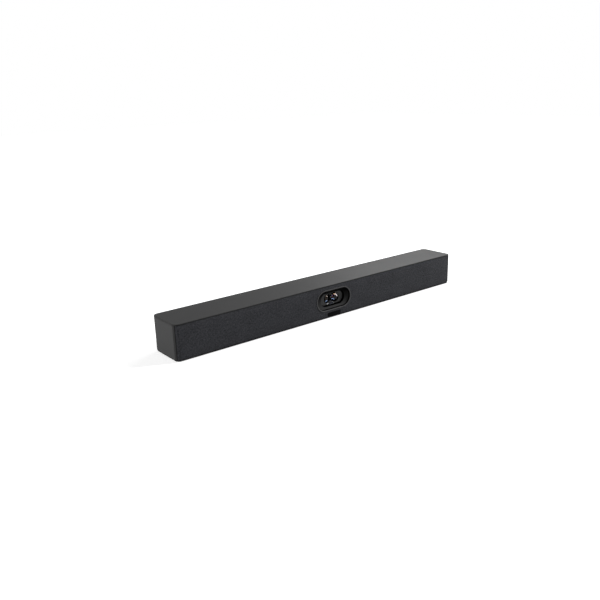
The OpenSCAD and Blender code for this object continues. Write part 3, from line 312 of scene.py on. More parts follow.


# Satin paint or anodising over metal: fine orange peel, brighter along the edges, partly rubbed wear and
# partly a painted highlight
def satinCoat(name, shade, rough=0.35, metal=0.0, edgeWearAndPaintedLight=1.5, gloss=0.5):
    f = Finish(name)
    at = f.place()
    skin = f.noise(at, 0.0006)
    broad = f.noise(at, 0.02)
    edge = 0.0003
    base = f.mix(broad, scaled(shade, 0.93), scaled(shade, 1.07))
    return f.principled({
        "Base Color": f.mix((f.edges(edge) * 2.0).atMost(1.0), base, scaled(shade, edgeWearAndPaintedLight)),
        "Roughness": f.between(skin * 0.4 + broad * 0.6, rough - 0.05, rough + 0.05),
        "Metallic": metal,
        "Specular IOR Level": gloss,
        "Normal": f.relief(skin, 0.000012, 0.5, f.soft(edge)),
    })


# Rolled or drawn metal: hairlines along one axis, clouded roughness
def drawnMetal(name, shade, rough=0.3):
    f = Finish(name)
    lines = f.noise(f.place(scale=(1, 1, 30)), 0.006, 3.0, 0.7)
    cloud = f.noise(f.place(), 0.006, 3.0)
    return f.principled({
        "Base Color": f.mix(cloud, scaled(shade, 0.85), scaled(shade, 1.08)),
        "Metallic": 1.0,
        "Roughness": f.between(lines * 0.5 + cloud * 0.5, rough - 0.1, rough + 0.12),
        "Normal": f.relief(lines, 0.000006, 0.4, f.soft(0.0002)),
    })


# Cast or sintered surfaces: coarse grain and blotches
def castMetal(name, shade, rough=0.5, metal=1.0):
    f = Finish(name)
    at = f.place()
    grit = f.noise(at, 0.0007, 4.0, 0.65)
    cloud = f.noise(at, 0.008, 3.0)
    return f.principled({
        "Base Color": f.mix(cloud * 0.6 + grit * 0.4, scaled(shade, 0.8), scaled(shade, 1.15)),
        "Metallic": metal,
        "Roughness": f.between(grit, rough - 0.1, rough + 0.12),
        "Normal": f.relief(grit, 0.00005, 0.6, f.soft(0.0003)),
    })


# Soft rubber: velvety, with a bloom of dust in its pores
def softRubber(name, shade, rough=0.75):
    f = Finish(name)
    at = f.place()
    pores = f.noise(at, 0.0005, 3.0, 0.7)
    bloom = f.noise(at, 0.012, 3.0)
    return f.principled({
        "Base Color": f.mix(bloom * 0.5 + pores * 0.5, scaled(shade, 0.75), scaled(shade, 1.5)),
        "Roughness": f.between(pores, rough - 0.08, rough + 0.1),
        "Specular IOR Level": 0.35,
        "Normal": f.relief(pores, 0.00004, 0.5, f.soft(0.0004)),
    })


# Solder mask over copper runs and weave, with bare copper round the holes
def circuitBoard(name, mask, copper):
    f = Finish(name)
    at = f.place()
    runs = f.cells(f.place(scale=(1, 1.6, 1)), 0.006, 0.75, "DISTANCE_TO_EDGE") < 0.07
    holes = f.cells(at, 0.0046, 0.35) < 0.12
    weave = f.noise(at, 0.0008)
    base = f.mix(runs, f.mix(weave, scaled(mask, 0.8), mask), scaled(mask, 1.7))
    return f.principled({
        "Base Color": f.mix(holes, base, copper),
        "Metallic": holes * 0.9,
        "Roughness": f.between(weave, 0.28, 0.42),
        "Normal": f.relief(runs * 0.5 + weave * 0.2, 0.00003, 0.5),
    })


# Smooth gloss with the faintest waviness
def glossSkin(name, shade, rough=0.08, coat=0.6, gloss=0.5):
    f = Finish(name)
    at = f.place()
    ripple = f.noise(at, 0.004)
    dust = f.noise(at, 0.0006, 3.0, 0.7)
    return f.principled({
        "Base Color": f.mix(ripple, scaled(shade, 0.85), scaled(shade, 1.15)),
        "Roughness": f.between(dust, rough * 0.8, rough * 1.5),
        "Specular IOR Level": gloss,
        "Coat Weight": coat,
        "Coat Roughness": 0.05,
        "Normal": f.relief(ripple, 0.00002, 0.15, f.soft(0.0002)),
    })


# Optical glass with its coating, on a map of its own face from -1 to 1 both ways. It mirrors more along two
# arcs near the edge, painted in: a warm painted highlight at the upper right and a cool painted reflection at
# the lower left
def coatedGlass(name, clear, veil, warmHighlight, coolReflection, blur=0.0):
    f = Finish(name)
    face = f.place(uv="face")
    x, y = f.parts(face)[:2]
    radius = f.fromMiddle(face)
    film = f.noise(face, 0.9)

    def paintedArc(part):
        towards = math.radians(part["towards"])
        facing = (x * math.cos(towards) + y * math.sin(towards)) / radius.atLeast(0.05)
        band = ((part["wide"] - abs(radius - part["radius"])) / part["soft"]).clamped()
        return ((facing - part["open"]) * 2.6).clamped() * band

    # painted highlight and painted reflection: the mirror's share and its tint rise along these arcs
    paintedHighlight, paintedReflection = paintedArc(warmHighlight), paintedArc(coolReflection)
    towards = math.radians(warmHighlight["towards"])
    leftwards = ((y * math.cos(towards) - x * math.sin(towards)) * 1.8 + (film - 0.5)).clamped()
    highlightTint = f.mix(leftwards, warmHighlight["shade"], warmHighlight["end"])
    mirror = f.node("ShaderNodeBsdfPrincipled", None, {
        "Base Color": f.mix((paintedReflection * 3).atMost(1.0), highlightTint, coolReflection["shade"]),
        "Metallic": 1.0,
        "Roughness": f.between(film, 0.02, 0.06) + paintedHighlight.atMost(1.0) * blur,
    })
    through = f.node("ShaderNodeBsdfTransparent", None, {"Color": clear})
    amount = veil + paintedHighlight * warmHighlight["most"] + paintedReflection * coolReflection["most"]
    return f.surface(f.node("ShaderNodeMixShader", None, {0: amount.atMost(1.0), 1: through, 2: mirror}))


# Coloured coating on an inner element, in rings from the middle outwards, near black in the middle as a
# painted dark pupil
def ringedCoat(name, stops, rough):
    f = Finish(name)
    face = f.place(uv="face")
    film = f.noise(face, 0.6)
    radius = f.fromMiddle(face) + (film - 0.5) * 0.12
    return f.principled({
        "Base Color": f.node("ShaderNodeValToRGB", {"stops": stops}, {0: radius}),
        "Metallic": 1.0,
        "Roughness": f.between(film, rough, rough * 2),
    })


windowLow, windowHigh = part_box("window_rim")
windowLevel = (windowLow.z + windowHigh.z) / 2
# the mask's satin face; outside it, a painted shadow
maskFaceAndShadow = {"wide": 0.0505, "high": 0.0194, "coat": 0.26, "level": windowLevel}
# the ledge turns black upwards: painted shade under the ring's top
ledgeShadeFade = {"from": windowLevel - 0.014, "to": windowLevel + 0.0105}
noArc = {"towards": 0, "open": 1, "radius": 0.7, "wide": 0.1, "soft": 0.1, "most": 0.0,
         "shade": white, "end": white}

# How each finish is made. Shades are linear and lengths in metres, and the cloth's ends are half its length
recipes = {
    "casePlastic": (mouldedPlastic, {
        "shade": (0.0273, 0.0273, 0.0275), "rough": 0.6, "gloss": 0.05, "edge": 0.0009, "edgeWearAndPaintedLight": 0.55}),
    # the case plastic again, darker on the lid: painted shade on the upward face
    "lidPlastic": (mouldedPlastic, {
        "shade": (0.0248, 0.0248, 0.025), "rough": 0.6, "gloss": 0.05, "edge": 0.0009, "edgeWearAndPaintedLight": 0.55}),
    "basePlastic": (mouldedPlastic, {"shade": (0.0022, 0.0022, 0.0022), "rough": 0.65, "gloss": 0.06}),
    "stripPlastic": (mouldedPlastic, {
        "shade": (0.018, 0.018, 0.0182), "grain": 0.0003, "depth": 0.000008, "gloss": 0.06}),
    "bezelPlastic": (mouldedPlastic, {
        "shade": (0.041, 0.041, 0.0412), "grain": 0.0003, "depth": 0.00001, "edge": 0.0003, "edgeWearAndPaintedLight": 1.2,
        "gloss": 0.01, "fade": ledgeShadeFade}),
    "maskPlastic": (mouldedPlastic, {
        "shade": (0.034, 0.034, 0.0344), "rough": 0.42, "grain": 0.0003, "depth": 0.000008, "edge": 0.0008,
        "edgeWearAndPaintedLight": 3.0, "gloss": 0.01, "face": maskFaceAndShadow}),
    "bladePlastic": (mouldedPlastic, {
        "shade": (0.0014, 0.0014, 0.0015), "rough": 0.6, "grain": 0.00035, "depth": 0.00001, "gloss": 0.01}),
    "boxPlastic": (mouldedPlastic, {"shade": (0.018, 0.018, 0.019), "rough": 0.55}),
    "conePlastic": (mouldedPlastic, {"shade": (0.022, 0.022, 0.024), "grain": 0.0006, "depth": 0.00003}),
    "frontCloth": (wovenCloth, {
        "dark": (0.0174, 0.0177, 0.0198), "light": (0.063, 0.0647, 0.073), "pitch": 0.00078, "depth": 0.00016,
        "ends": 0.29865, "endShadeWidth": 0.0011}),
    "ringPaint": (satinCoat, {"shade": (0.057, 0.057, 0.058), "rough": 0.45, "gloss": 0.1}),
    "lipBlack": (mouldedPlastic, {"shade": (0.0012, 0.0012, 0.0013), "rough": 0.7, "gloss": 0.0}),
    "badgePaint": (satinCoat, {"shade": (0.0025, 0.0025, 0.0027), "rough": 0.4, "edgeWearAndPaintedLight": 3.0, "gloss": 0.02}),
    "lensBlack": (satinCoat, {"shade": (0.006, 0.006, 0.0065), "edgeWearAndPaintedLight": 2.0, "gloss": 0.06}),
    "blackAluminium": (satinCoat, {"shade": (0.04, 0.042, 0.045), "rough": 0.42, "metal": 0.6}),
    "platedSteel": (drawnMetal, {"shade": (0.55, 0.56, 0.57)}),
    "screwSteel": (drawnMetal, {"shade": (0.16, 0.165, 0.17), "rough": 0.36}),
    "contactGold": (drawnMetal, {"shade": (0.83, 0.6, 0.24), "rough": 0.25}),
    "turnedBrass": (drawnMetal, {"shade": (0.55, 0.38, 0.14), "rough": 0.32}),
    "castAlloy": (castMetal, {"shade": (0.45, 0.46, 0.47)}),
    "magnetIron": (castMetal, {"shade": (0.08, 0.082, 0.086), "metal": 0.7}),
    "footRubber": (softRubber, {"shade": (0.011, 0.011, 0.011)}),
    "padSilicone": (softRubber, {"shade": (0.35, 0.45, 0.55), "rough": 0.6}),
    "greenBoard": (circuitBoard, {"mask": (0.012, 0.07, 0.035), "copper": (0.72, 0.5, 0.26)}),
    "chipEpoxy": (mouldedPlastic, {
        "shade": (0.02, 0.02, 0.022), "rough": 0.45, "grain": 0.0002, "edge": 0.0002}),
    "amberFilm": (glossSkin, {"shade": (0.42, 0.19, 0.04), "rough": 0.2}),
    "gearAcetal": (glossSkin, {"shade": (0.7, 0.68, 0.6), "rough": 0.3, "coat": 0.1}),
    "wireVinyl": (glossSkin, {"shade": (0.25, 0.02, 0.02), "rough": 0.3, "coat": 0.2}),
    "smokedWindow": (glossSkin, {"shade": (0.004, 0.006, 0.014), "rough": 0.15, "coat": 0.0, "gloss": 0.25}),
    # each front glass carries a painted highlight (warm) and a painted reflection (cool)
    "leftGlass": (coatedGlass, {
        "clear": (0.8, 0.84, 0.92), "veil": 0.012, "blur": 0.04,
        "warmHighlight": {"towards": 64, "open": 0.62, "radius": 0.7, "wide": 0.26, "soft": 0.16, "most": 0.75,
                 "shade": (1.0, 0.93, 0.97), "end": (1.0, 0.8, 0.62)},
        "coolReflection": {"towards": 234, "open": 0.78, "radius": 0.64, "wide": 0.34, "soft": 0.2, "most": 0.6,
                 "shade": (0.4, 0.6, 1.0)}}),
    "rightGlass": (coatedGlass, {
        "clear": (0.8, 0.84, 0.92), "veil": 0.014,
        "warmHighlight": {"towards": 52, "open": 0.5, "radius": 0.72, "wide": 0.24, "soft": 0.16, "most": 0.6,
                 "shade": (1.0, 0.93, 0.97), "end": (1.0, 0.62, 0.36)},
        "coolReflection": {"towards": 233, "open": 0.6, "radius": 0.66, "wide": 0.34, "soft": 0.2, "most": 0.36,
                 "shade": (0.42, 0.6, 1.0)}}),
    "backGlass": (coatedGlass, {"clear": (0.94, 0.95, 0.97), "veil": 0.0, "warmHighlight": noArc, "coolReflection": noArc}),
    # coating tints in rings, with a painted dark pupil at the middle
    "innerCoat": (ringedCoat, {
        "rough": 0.1,
        "stops": [(0, (0.004, 0.002, 0.006)), (0.3, (0.02, 0.004, 0.022)), (0.55, (0.12, 0.03, 0.1)),
                  (0.8, (0.03, 0.08, 0.07)), (1, (0.01, 0.03, 0.09))]}),
}
finishes = {name: make(name, **values) for name, (make, values) in recipes.items()}
print("finishes:", len(finishes))

# Finish of each node that is shown as it is
nodeFinishes = {
    "lidPlastic": ["top_cover"],
    "casePlastic": ["rear_housing"],
    "basePlastic": ["bottom_cover"],
    "stripPlastic": ["grille_frame"],
    "bezelPlastic": ["window_bezel"],
    "maskPlastic": ["lens_mask"],
    "bladePlastic": ["shutter_blade", "shutter_guide", "reset_button"],
    "boxPlastic": ["speaker_box_left", "speaker_box_right", "speaker_basket_left", "speaker_basket_right"],
    "conePlastic": ["speaker_cone_left", "speaker_cone_right"],
    "lensBlack": ["lens_barrel_left", "lens_barrel_right", "dc_socket"],
    "blackAluminium": ["heat_sink"],
    "platedSteel": ["shutter_motor", "board_screws", "usb_c_socket", "usb_a_socket", "hdmi_socket",
                    "ethernet_socket", "lock_plate", "driver_screws"],
    "turnedBrass": ["board_standoffs", "mic_capsules", "tripod_insert", "bracket_inserts"],
    "castAlloy": ["camera_bracket"],
    "magnetIron": ["speaker_magnet_left", "speaker_magnet_right"],
    "padSilicone": ["thermal_pad"],
    "greenBoard": ["sensor_board_left", "sensor_board_right", "main_board", "mic_board"],
    "chipEpoxy": ["image_sensors", "processor", "board_chips", "reset_switch"],
    "amberFilm": ["camera_ribbons", "mic_ribbon"],
    "gearAcetal": ["shutter_pinion"],
    "wireVinyl": ["wire_leads"],
}
for finishName, names in nodeFinishes.items():
    for name in names:
        mesh = nodes[name].data
        mesh.materials.clear()
        mesh.materials.append(finishes[finishName])


# Making pieces
def addPiece(name, bm, finish, body="housing", replaces=(), sharp=32):
    mesh = bpy.data.meshes.new(name)
    bm.to_mesh(mesh)
    bm.free()
    mesh.polygons.foreach_set("use_smooth", [True] * len(mesh.polygons))
    mesh.set_sharp_from_angle(angle=math.radians(sharp))
    mesh.materials.append(finishes[finish])
    piece = bpy.data.objects.new(name, mesh)
    scene.collection.objects.link(piece)
    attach(piece, body)
    if replaces:
        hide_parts(*replaces)
    return piece


def pointsOf(geometry):
    return [v for v in geometry if isinstance(v, bmesh.types.BMVert)]


def edgesOf(geometry):
    return [e for e in geometry if isinstance(e, bmesh.types.BMEdge)]


def bevelEdges(bm, edges, width, segments=3, affect="EDGES"):
    bmesh.ops.bevel(bm, geom=edges, offset=width, offset_type="OFFSET", segments=segments,
                    profile=0.5, affect=affect, clamp_overlap=True, material=-1)


def tidyMesh(bm):
    bmesh.ops.remove_doubles(bm, verts=bm.verts, dist=1e-6)
    bmesh.ops.recalc_face_normals(bm, faces=bm.faces)


# Edges swept round an axis or drawn out straight: both give back the far edges
def sweptRound(bm, edges, centre, axis, angle, steps):
    made = bmesh.ops.spin(bm, geom=edges, cent=centre, axis=axis, dvec=(0, 0, 0), angle=angle, steps=steps)
    return edgesOf(made["geom_last"])


def drawnOut(bm, edges, vec):
    made = bmesh.ops.extrude_edge_only(bm, edges=edges)["geom"]
    bmesh.ops.translate(bm, vec=vec, verts=pointsOf(made))
    return edgesOf(made)


def raiseFaces(bm, faces, height):
    made = bmesh.ops.extrude_face_region(bm, geom=faces)["geom"]
    bmesh.ops.translate(bm, vec=(0, 0, height), verts=pointsOf(made))
    tidyMesh(bm)


def edgesAt(bm, height):
    return [e for e in bm.edges if all(abs(v.co.z - height) < 1e-7 for v in e.verts)]


def highestFace(bm):
    return max(bm.faces, key=lambda f: f.calc_center_median().z)


# Turned piece: a closed (radius, height) outline spun round Z, then put in place
def turned(outline, place, steps=64):
    bm = bmesh.new()
    verts = [bm.verts.new((r, 0, z)) for r, z in outline]
    edges = [bm.edges.new((v, verts[i - 1])) for i, v in enumerate(verts)
             if max(outline[i][0], outline[i - 1][0]) > 0]
    bmesh.ops.spin(bm, geom=verts + edges, cent=(0, 0, 0), axis=(0, 0, 1), dvec=(0, 0, 0),
                   angle=2 * math.pi, steps=steps, use_merge=True)
    tidyMesh(bm)
    return placed(bm, place)


# Map of a turned piece's own face, from -1 to 1 across it
def faceMap(piece, place, radius):
    back = place.inverted()
    layer = piece.data.uv_layers.new(name="face")
    for loop in piece.data.loops:
        spot = back @ piece.data.vertices[loop.vertex_index].co
        layer.data[loop.index].uv = (spot.x / radius, spot.y / radius)


# Band carried round a stadium: the outline is (inset, depth) pairs, from the outer edge and the cloth's face
def stadiumBand(width, height, centre, outline, steps=40):
    bm = bmesh.new()
    reach = (width - height) / 2
    top = centre.z + height / 2
    verts = [bm.verts.new((centre.x + reach, centre.y + deep, top - inset)) for inset, deep in outline]
    loop = [bm.edges.new((v, verts[i - 1])) for i, v in enumerate(verts)]
    for side in (1, -1):
        loop = sweptRound(bm, loop, (centre.x + side * reach, 0, centre.z), (0, 1, 0), math.pi, steps)
        loop = drawnOut(bm, loop, (-side * 2 * reach, 0, 0))
    tidyMesh(bm)
    return bm


# Plate with rounded corners, lying in X and Y with its face up, its upper edge softened
def roundedPlate(width, depth, thickness, corner, soften, steps=10):
    bm = bmesh.new()
    bmesh.ops.create_grid(bm, x_segments=1, y_segments=1, size=0.5)
    bmesh.ops.scale(bm, vec=(width, depth, 1), verts=bm.verts)
    bevelEdges(bm, list(bm.verts), corner, steps, "VERTICES")
    tidyMesh(bm)
    raiseFaces(bm, list(bm.faces), thickness)
    if soften:
        bevelEdges(bm, edgesAt(bm, thickness), soften, 4)
    return bm


def placed(bm, matrix):
    bmesh.ops.transform(bm, matrix=matrix, verts=bm.verts)
    return bm


def merged(parts):
    whole = bmesh.new()
    for part in parts:
        mesh = bpy.data.meshes.new("part")
        part.to_mesh(mesh)
        part.free()
        whole.from_mesh(mesh)
        bpy.data.meshes.remove(mesh)
    return whole


facingFront = Matrix.Rotation(math.radians(90), 4, "X")   # a plate's face turned to the front
facingDown = Matrix.Rotation(math.radians(180), 4, "X")
endGap = 1e-6   # keeps the round ends of a stadium from meeting

# The cloth
cloth = {
    "thick": 0.0006,      # drawn cloth, over the frame's face
    "roll": 0.0006,       # radius where its long edges turn in
    "corner": 0.008,      # radius of the bar's corners
    "wrap": 48,           # degrees of each corner that it covers
    "ringGap": 0.00005,   # clear of the ring
    "rows": 6,            # faces over its height
    "cornerSteps": 10,
    "frontCuts": 9,
    "windowCut": 0.02,    # length of the tool that cuts the window
}


# Sheet bent round both front corners, before it has a thickness: it starts at its left end
def clothSheet(low, high, outer):
    axisY = low.y + cloth["corner"]
    wrap, steps = math.radians(cloth["wrap"]), cloth["cornerSteps"]
    roll = cloth["roll"]
    bend = roll * 0.3
    bm = bmesh.new()
    # upright outline, its two long edges rolled in towards the frame
    start = [(low.y + roll, low.z), (low.y + bend, low.z + bend), (low.y, low.z + roll)]
    rows = cloth["rows"]
    start += [(low.y, low.z + roll + (high.z - low.z - 2 * roll) * k / rows) for k in range(1, rows)]
    start += [(low.y, high.z - roll), (low.y + bend, high.z - bend), (low.y + roll, high.z)]
    verts = [bm.verts.new((-outer, y, z)) for y, z in start]
    edges = [bm.edges.new(pair) for pair in zip(verts, verts[1:])]
    # turned back from the front, then the left corner, the long run and the right corner
    bmesh.ops.rotate(bm, cent=(-outer, axisY, 0), matrix=Matrix.Rotation(-wrap, 3, "Z"), verts=verts)
    edges = sweptRound(bm, edges, (-outer, axisY, 0), (0, 0, 1), wrap, steps)
    edges = drawnOut(bm, edges, (2 * outer, 0, 0))
    sweptRound(bm, edges, (outer, axisY, 0), (0, 0, 1), wrap, steps)
    bmesh.ops.remove_doubles(bm, verts=bm.verts, dist=1e-6)
    longEdges = [e for e in bm.edges if e.calc_length() > outer]
    bmesh.ops.subdivide_edges(bm, edges=longEdges, cuts=cloth["frontCuts"], use_grid_fill=True)
    bmesh.ops.recalc_face_normals(bm, faces=bm.faces)
    if sum(f.normal.y * f.calc_area() for f in bm.faces) > 0:   # it has to face the front
        bmesh.ops.reverse_faces(bm, faces=bm.faces)
    return bm


def cutWindow(piece, front, width, height, level):
    cutter = roundedPlate(width, height, cloth["windowCut"], height / 2 - endGap, 0, 32)
    placed(cutter, Matrix.Translation((0, front + cloth["windowCut"] / 2, level)) @ facingFront)
    bmesh.ops.recalc_face_normals(cutter, faces=cutter.faces)
    mesh = bpy.data.meshes.new("windowCut")
    cutter.to_mesh(mesh)
    cutter.free()
    tool = bpy.data.objects.new("windowCut", mesh)
    scene.collection.objects.link(tool)
    cut = piece.modifiers.new("window", "BOOLEAN")
    cut.object = tool
    cut.operation = "DIFFERENCE"
    cut.solver = "EXACT"
    bpy.context.view_layer.update()
    done = bpy.data.meshes.new_from_object(piece.evaluated_get(bpy.context.evaluated_depsgraph_get()))
    piece.modifiers.clear()
    piece.data = done
    bpy.data.objects.remove(tool)


# Map along the cloth's own length, round the corners, and over its height
def weaveMap(mesh, outer, axisY):
    layer = mesh.uv_layers.new(name="weave")
    for loop in mesh.loops:
        x, y, z = mesh.vertices[loop.vertex_index].co
        turn = math.atan2(abs(x) - outer, axisY - y) if abs(x) > outer else 0
        along = math.copysign(min(abs(x), outer) + cloth["corner"] * turn, x)
        layer.data[loop.index].uv = (along, z)


def makeCloth():
    low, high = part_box("grille_fabric")
    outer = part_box("rear_housing")[1].x - cloth["corner"]   # where the straight front ends
    bm = clothSheet(low, high, outer)
    bmesh.ops.solidify(bm, geom=list(bm.faces), thickness=cloth["thick"])
    bmesh.ops.recalc_face_normals(bm, faces=bm.faces)
    piece = addPiece("frontCloth", bm, "frontCloth",
                     replaces=["grille_fabric"], sharp=60)
    width = windowHigh.x - windowLow.x + 2 * cloth["ringGap"]
    height = windowHigh.z - windowLow.z + 2 * cloth["ringGap"]
    cutWindow(piece, low.y, width, height, windowLevel)
    weaveMap(piece.data, outer, low.y + cloth["corner"])


makeCloth()
print("cloth stretched")

# The camera window
ring = {
    "band": 0.002,
    "soften": 0.00045,
    "foot": 0.0011,       # a lip on the ledge, black as a painted shadow
    "ledge": 0.0026,      # depth of the ledge's outer edge
    "slope": 0.37,        # of the ledge
    "overLedge": 0.0001,  # how far the lip stands in front of it
    "shadowFrom": 0.0007,  # black from this depth inwards: a painted shadow on the inner wall and the lip
}


def makeRing():
    width, height = windowHigh.x - windowLow.x, windowHigh.z - windowLow.z
    centre = Vector((0, windowLow.y, windowLevel))
    band, deep, soft = ring["band"], windowHigh.y - windowLow.y, ring["soften"]
    lip, ledge, over = band + ring["foot"], ring["ledge"], ring["overLedge"]
    lipDeep = ledge + ring["foot"] * ring["slope"]
    # round the front: the outer edge, the inner edge and the lip
    outline = [
        (0, deep), (0, soft), (soft * 0.12, soft * 0.45), (soft * 0.5, soft * 0.12), (soft * 1.1, 0),
        (band - soft * 1.3, soft * 0.1), (band - soft * 0.6, soft * 0.35), (band - soft * 0.15, soft * 0.9),
        (band, soft * 1.7), (band, ledge - 2 * over), (lip, lipDeep - over), (lip, lipDeep), (band, ledge),
        (band, deep),
    ]
    piece = addPiece("windowRing", stadiumBand(width, height, centre, outline), "ringPaint",
                     replaces=["window_rim"])
    # the inner wall and the lip are black: a painted shadow in the groove between ring and ledge
    piece.data.materials.append(finishes["lipBlack"])
    for face in piece.data.polygons:
        face.material_index = int(face.center.y > windowLow.y + ring["shadowFrom"])


makeRing()

lens = {
    "pitch": 0.0164,
    "toeIn": 15,
    "deep": 0.0088,       # front of its ring, behind the cloth's face
    "glass": 0.00735,     # radius of the front element
    "rise": 0.003,        # height of its dome
    "sunk": 0.0012,       # its edge, behind the front of the ring
    "skirt": 0.0022,
    "wall": 0.0008,       # of the skirt
    "bowl": 0.0082,       # radius of the hollow behind the dome
    "middle": 0.0019,     # thickness of the glass on the axis
    "bowlInset": 0.0012,
}
lensRing = {"outer": 0.008, "band": 0.0006, "tall": 0.0022, "soften": 0.0002, "groove": 0.0001}
lightTrap = {
    "outer": 0.0054,
    "first": 0.0051,      # radius of its first step
    "from": 0.0036,       # behind the front of the ring
    "step": 0.0004,
    "tread": 0.00055,
    "hole": 0.0034,
    "steps": 48,
}
innerElement = {"overlap": 0.00015, "sunk": 0.0003, "dome": 0.0052, "thick": 0.0012}


# A lens's own axis: Z runs out of it, and zero is the front of its ring
def lensPlace(side):
    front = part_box("grille_fabric")[0].y
    spot = Matrix.Translation((side * lens["pitch"] / 2, front + lens["deep"], windowLevel))
    return spot @ Matrix.Rotation(math.radians(-side * lens["toeIn"]), 4, "Z") @ facingFront


# Points of a dome's outline, between two distances from the axis
def domeArc(radius, centre, start, end, steps):
    return [(r, centre + math.sqrt(max(radius ** 2 - r ** 2, 0)))
            for r in (start + (end - start) * k / steps for k in range(steps + 1))]


def makeFrontElement(place, word):
    glass, rise, foot = lens["glass"], lens["rise"], -lens["sunk"] - lens["skirt"]
    outerRadius = (glass ** 2 + rise ** 2) / (2 * rise)
    top = rise - lens["sunk"]
    dome = domeArc(outerRadius, top - outerRadius, glass, 0, 14)
    bowl = domeArc(lens["bowl"], top - lens["middle"] - lens["bowl"], 0, glass - lens["bowlInset"], 10)
    outline = dome + bowl + [(glass - lens["wall"], foot), (glass, foot)]
    piece = addPiece("frontElement_" + word, turned(outline, place), word + "Glass",
                     replaces=["lens_dome_" + word], sharp=40)
    faceMap(piece, place, glass)
    piece.data.materials.append(finishes["backGlass"])   # only the domed front is coated
    outwards = place.to_3x3() @ Vector((0, 0, 1))
    for face in piece.data.polygons:
        face.material_index = int(face.normal.dot(outwards) < 0.1)


# Ring that holds the glass, with a fine groove in its face
def makeLensRing(place, word):
    outer, soft, cut, back = lensRing["outer"], lensRing["soften"], -lensRing["groove"], -lensRing["tall"]
    inner = outer - lensRing["band"]
    outline = [
        (inner, back), (outer, back), (outer, -soft), (outer - soft * 0.3, -soft * 0.3), (outer - soft, 0),
        (outer - soft * 1.3, 0), (outer - soft * 1.5, cut), (outer - soft * 1.8, cut), (outer - soft * 2, 0),
        (inner + soft * 0.6, 0), (inner + soft * 0.2, -soft * 0.2), (inner, -soft),
    ]
    addPiece("lensRing_" + word, turned(outline, place), "lensBlack",
             replaces=["lens_ring_" + word], sharp=25)


# Stepped light trap behind the glass, and the coated inner element in its hole
def makeLightTrap(place, word):
    radius, height = lightTrap["first"], -lightTrap["from"]
    step, tread = lightTrap["step"], lightTrap["tread"]
    outline = [(lightTrap["outer"], height)]
    while radius > lightTrap["hole"]:
        outline += [(radius, height), (radius, height - tread)]
        radius -= step
        height -= tread
    outline += [(radius, height), (radius, height - step), (lightTrap["outer"], height - step)]
    addPiece("lightTrap_" + word, turned(outline, place, lightTrap["steps"]), "lensBlack",
             sharp=20)
    eye, dome = radius + innerElement["overlap"], innerElement["dome"]
    edge = height - innerElement["sunk"]
    back = edge - innerElement["thick"]
    outline = domeArc(dome, edge - math.sqrt(dome ** 2 - eye ** 2), eye, 0, 8) + [(0, back), (eye, back)]
    piece = addPiece("innerElement_" + word, turned(outline, place, lightTrap["steps"]), "innerCoat",
                     sharp=50)
    faceMap(piece, place, eye)


for side, word in ((-1, "left"), (1, "right")):
    place = lensPlace(side)
    makeFrontElement(place, word)
    makeLensRing(place, word)
    makeLightTrap(place, word)

statusWindow = {"crown": 0.00035}


def makeStatusWindow():
    low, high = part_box("status_light_pipe")
    width, height, deep = high.x - low.x, high.z - low.z, high.y - low.y
    bm = roundedPlate(width, height, deep, height / 2 - endGap, statusWindow["crown"], 12)
    placed(bm, Matrix.Translation((0, high.y, (low.z + high.z) / 2)) @ facingFront)
    addPiece("statusWindow", bm, "smokedWindow", replaces=["status_light_pipe"])


makeStatusWindow()

badge = {"corner": 0.002, "soften": 0.00018}


def makeBadge():
    low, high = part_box("badge_plate")
    bm = roundedPlate(high.x - low.x, high.z - low.z, high.y - low.y, badge["corner"], badge["soften"])
    placed(bm, Matrix.Translation(((low.x + high.x) / 2, high.y, (low.z + high.z) / 2)) @ facingFront)
    addPiece("badgePlate", bm, "badgePaint", replaces=["badge_plate"])


makeBadge()
print("camera window made")

# Feet and screws under the base
foot = {
    "long": 0.042,
    "wide": 0.01,
    "gap": 0.0001,        # smaller than its pocket
    "soften": 0.0004,
    "rim": 0.0009,
    "sunk": 0.00025,      # the sole inside the rim
    "slant": 0.00015,     # width of the step down to it
}


def makeFeet():
    low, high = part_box("rubber_feet")
    middle = (low.y + high.y) / 2
    slim, length, tall = foot["wide"] - foot["gap"], foot["long"] - foot["gap"], high.z - low.z
    parts = []
    for sx in (-1, 1):
        for sy in (-1, 1):
            pad = roundedPlate(length, slim, tall, slim / 2 - 10 * endGap, foot["soften"], 8)
            sole = highestFace(pad)
            bmesh.ops.inset_region(pad, faces=[sole], thickness=foot["rim"], depth=0)
            bmesh.ops.inset_region(pad, faces=[sole], thickness=foot["slant"], depth=-foot["sunk"])
            x = sx * (high.x - foot["long"] / 2)
            y = middle + sy * ((high.y - low.y) / 2 - slim / 2)
            parts.append(placed(pad, Matrix.Translation((x, y, high.z)) @ facingDown))
    addPiece("rubberFeet", merged(parts), "footRubber", replaces=["rubber_feet"])


makeFeet()

screw = {
    "head": 0.0027,       # its radius, as for the shaft and the recess
    "headTall": 0.0016,
    "headSoften": 0.00035,
    "shaft": 0.0012,
    "taper": 0.8,
    "recess": 0.00115,
    "recessDeep": 0.0009,
    "lobes": 6,
    "lobeDeep": 0.13,     # share of the recess's radius
    "draft": 0.00001,     # of the recess's wall
    "apart": 0.01,        # points nearer than this are on one screw
}


# Middle of each screw, from the points of the node
def screwPlaces():
    groups = []
    for v in nodes["case_screws"].data.vertices:
        for group in groups:
            if (group[0].xy - v.co.xy).length < screw["apart"]:
                group.append(v.co)
                break
        else:
            groups.append([v.co])
    for group in groups:
        yield [(min(c[axis] for c in group) + max(c[axis] for c in group)) / 2 for axis in (0, 1)]


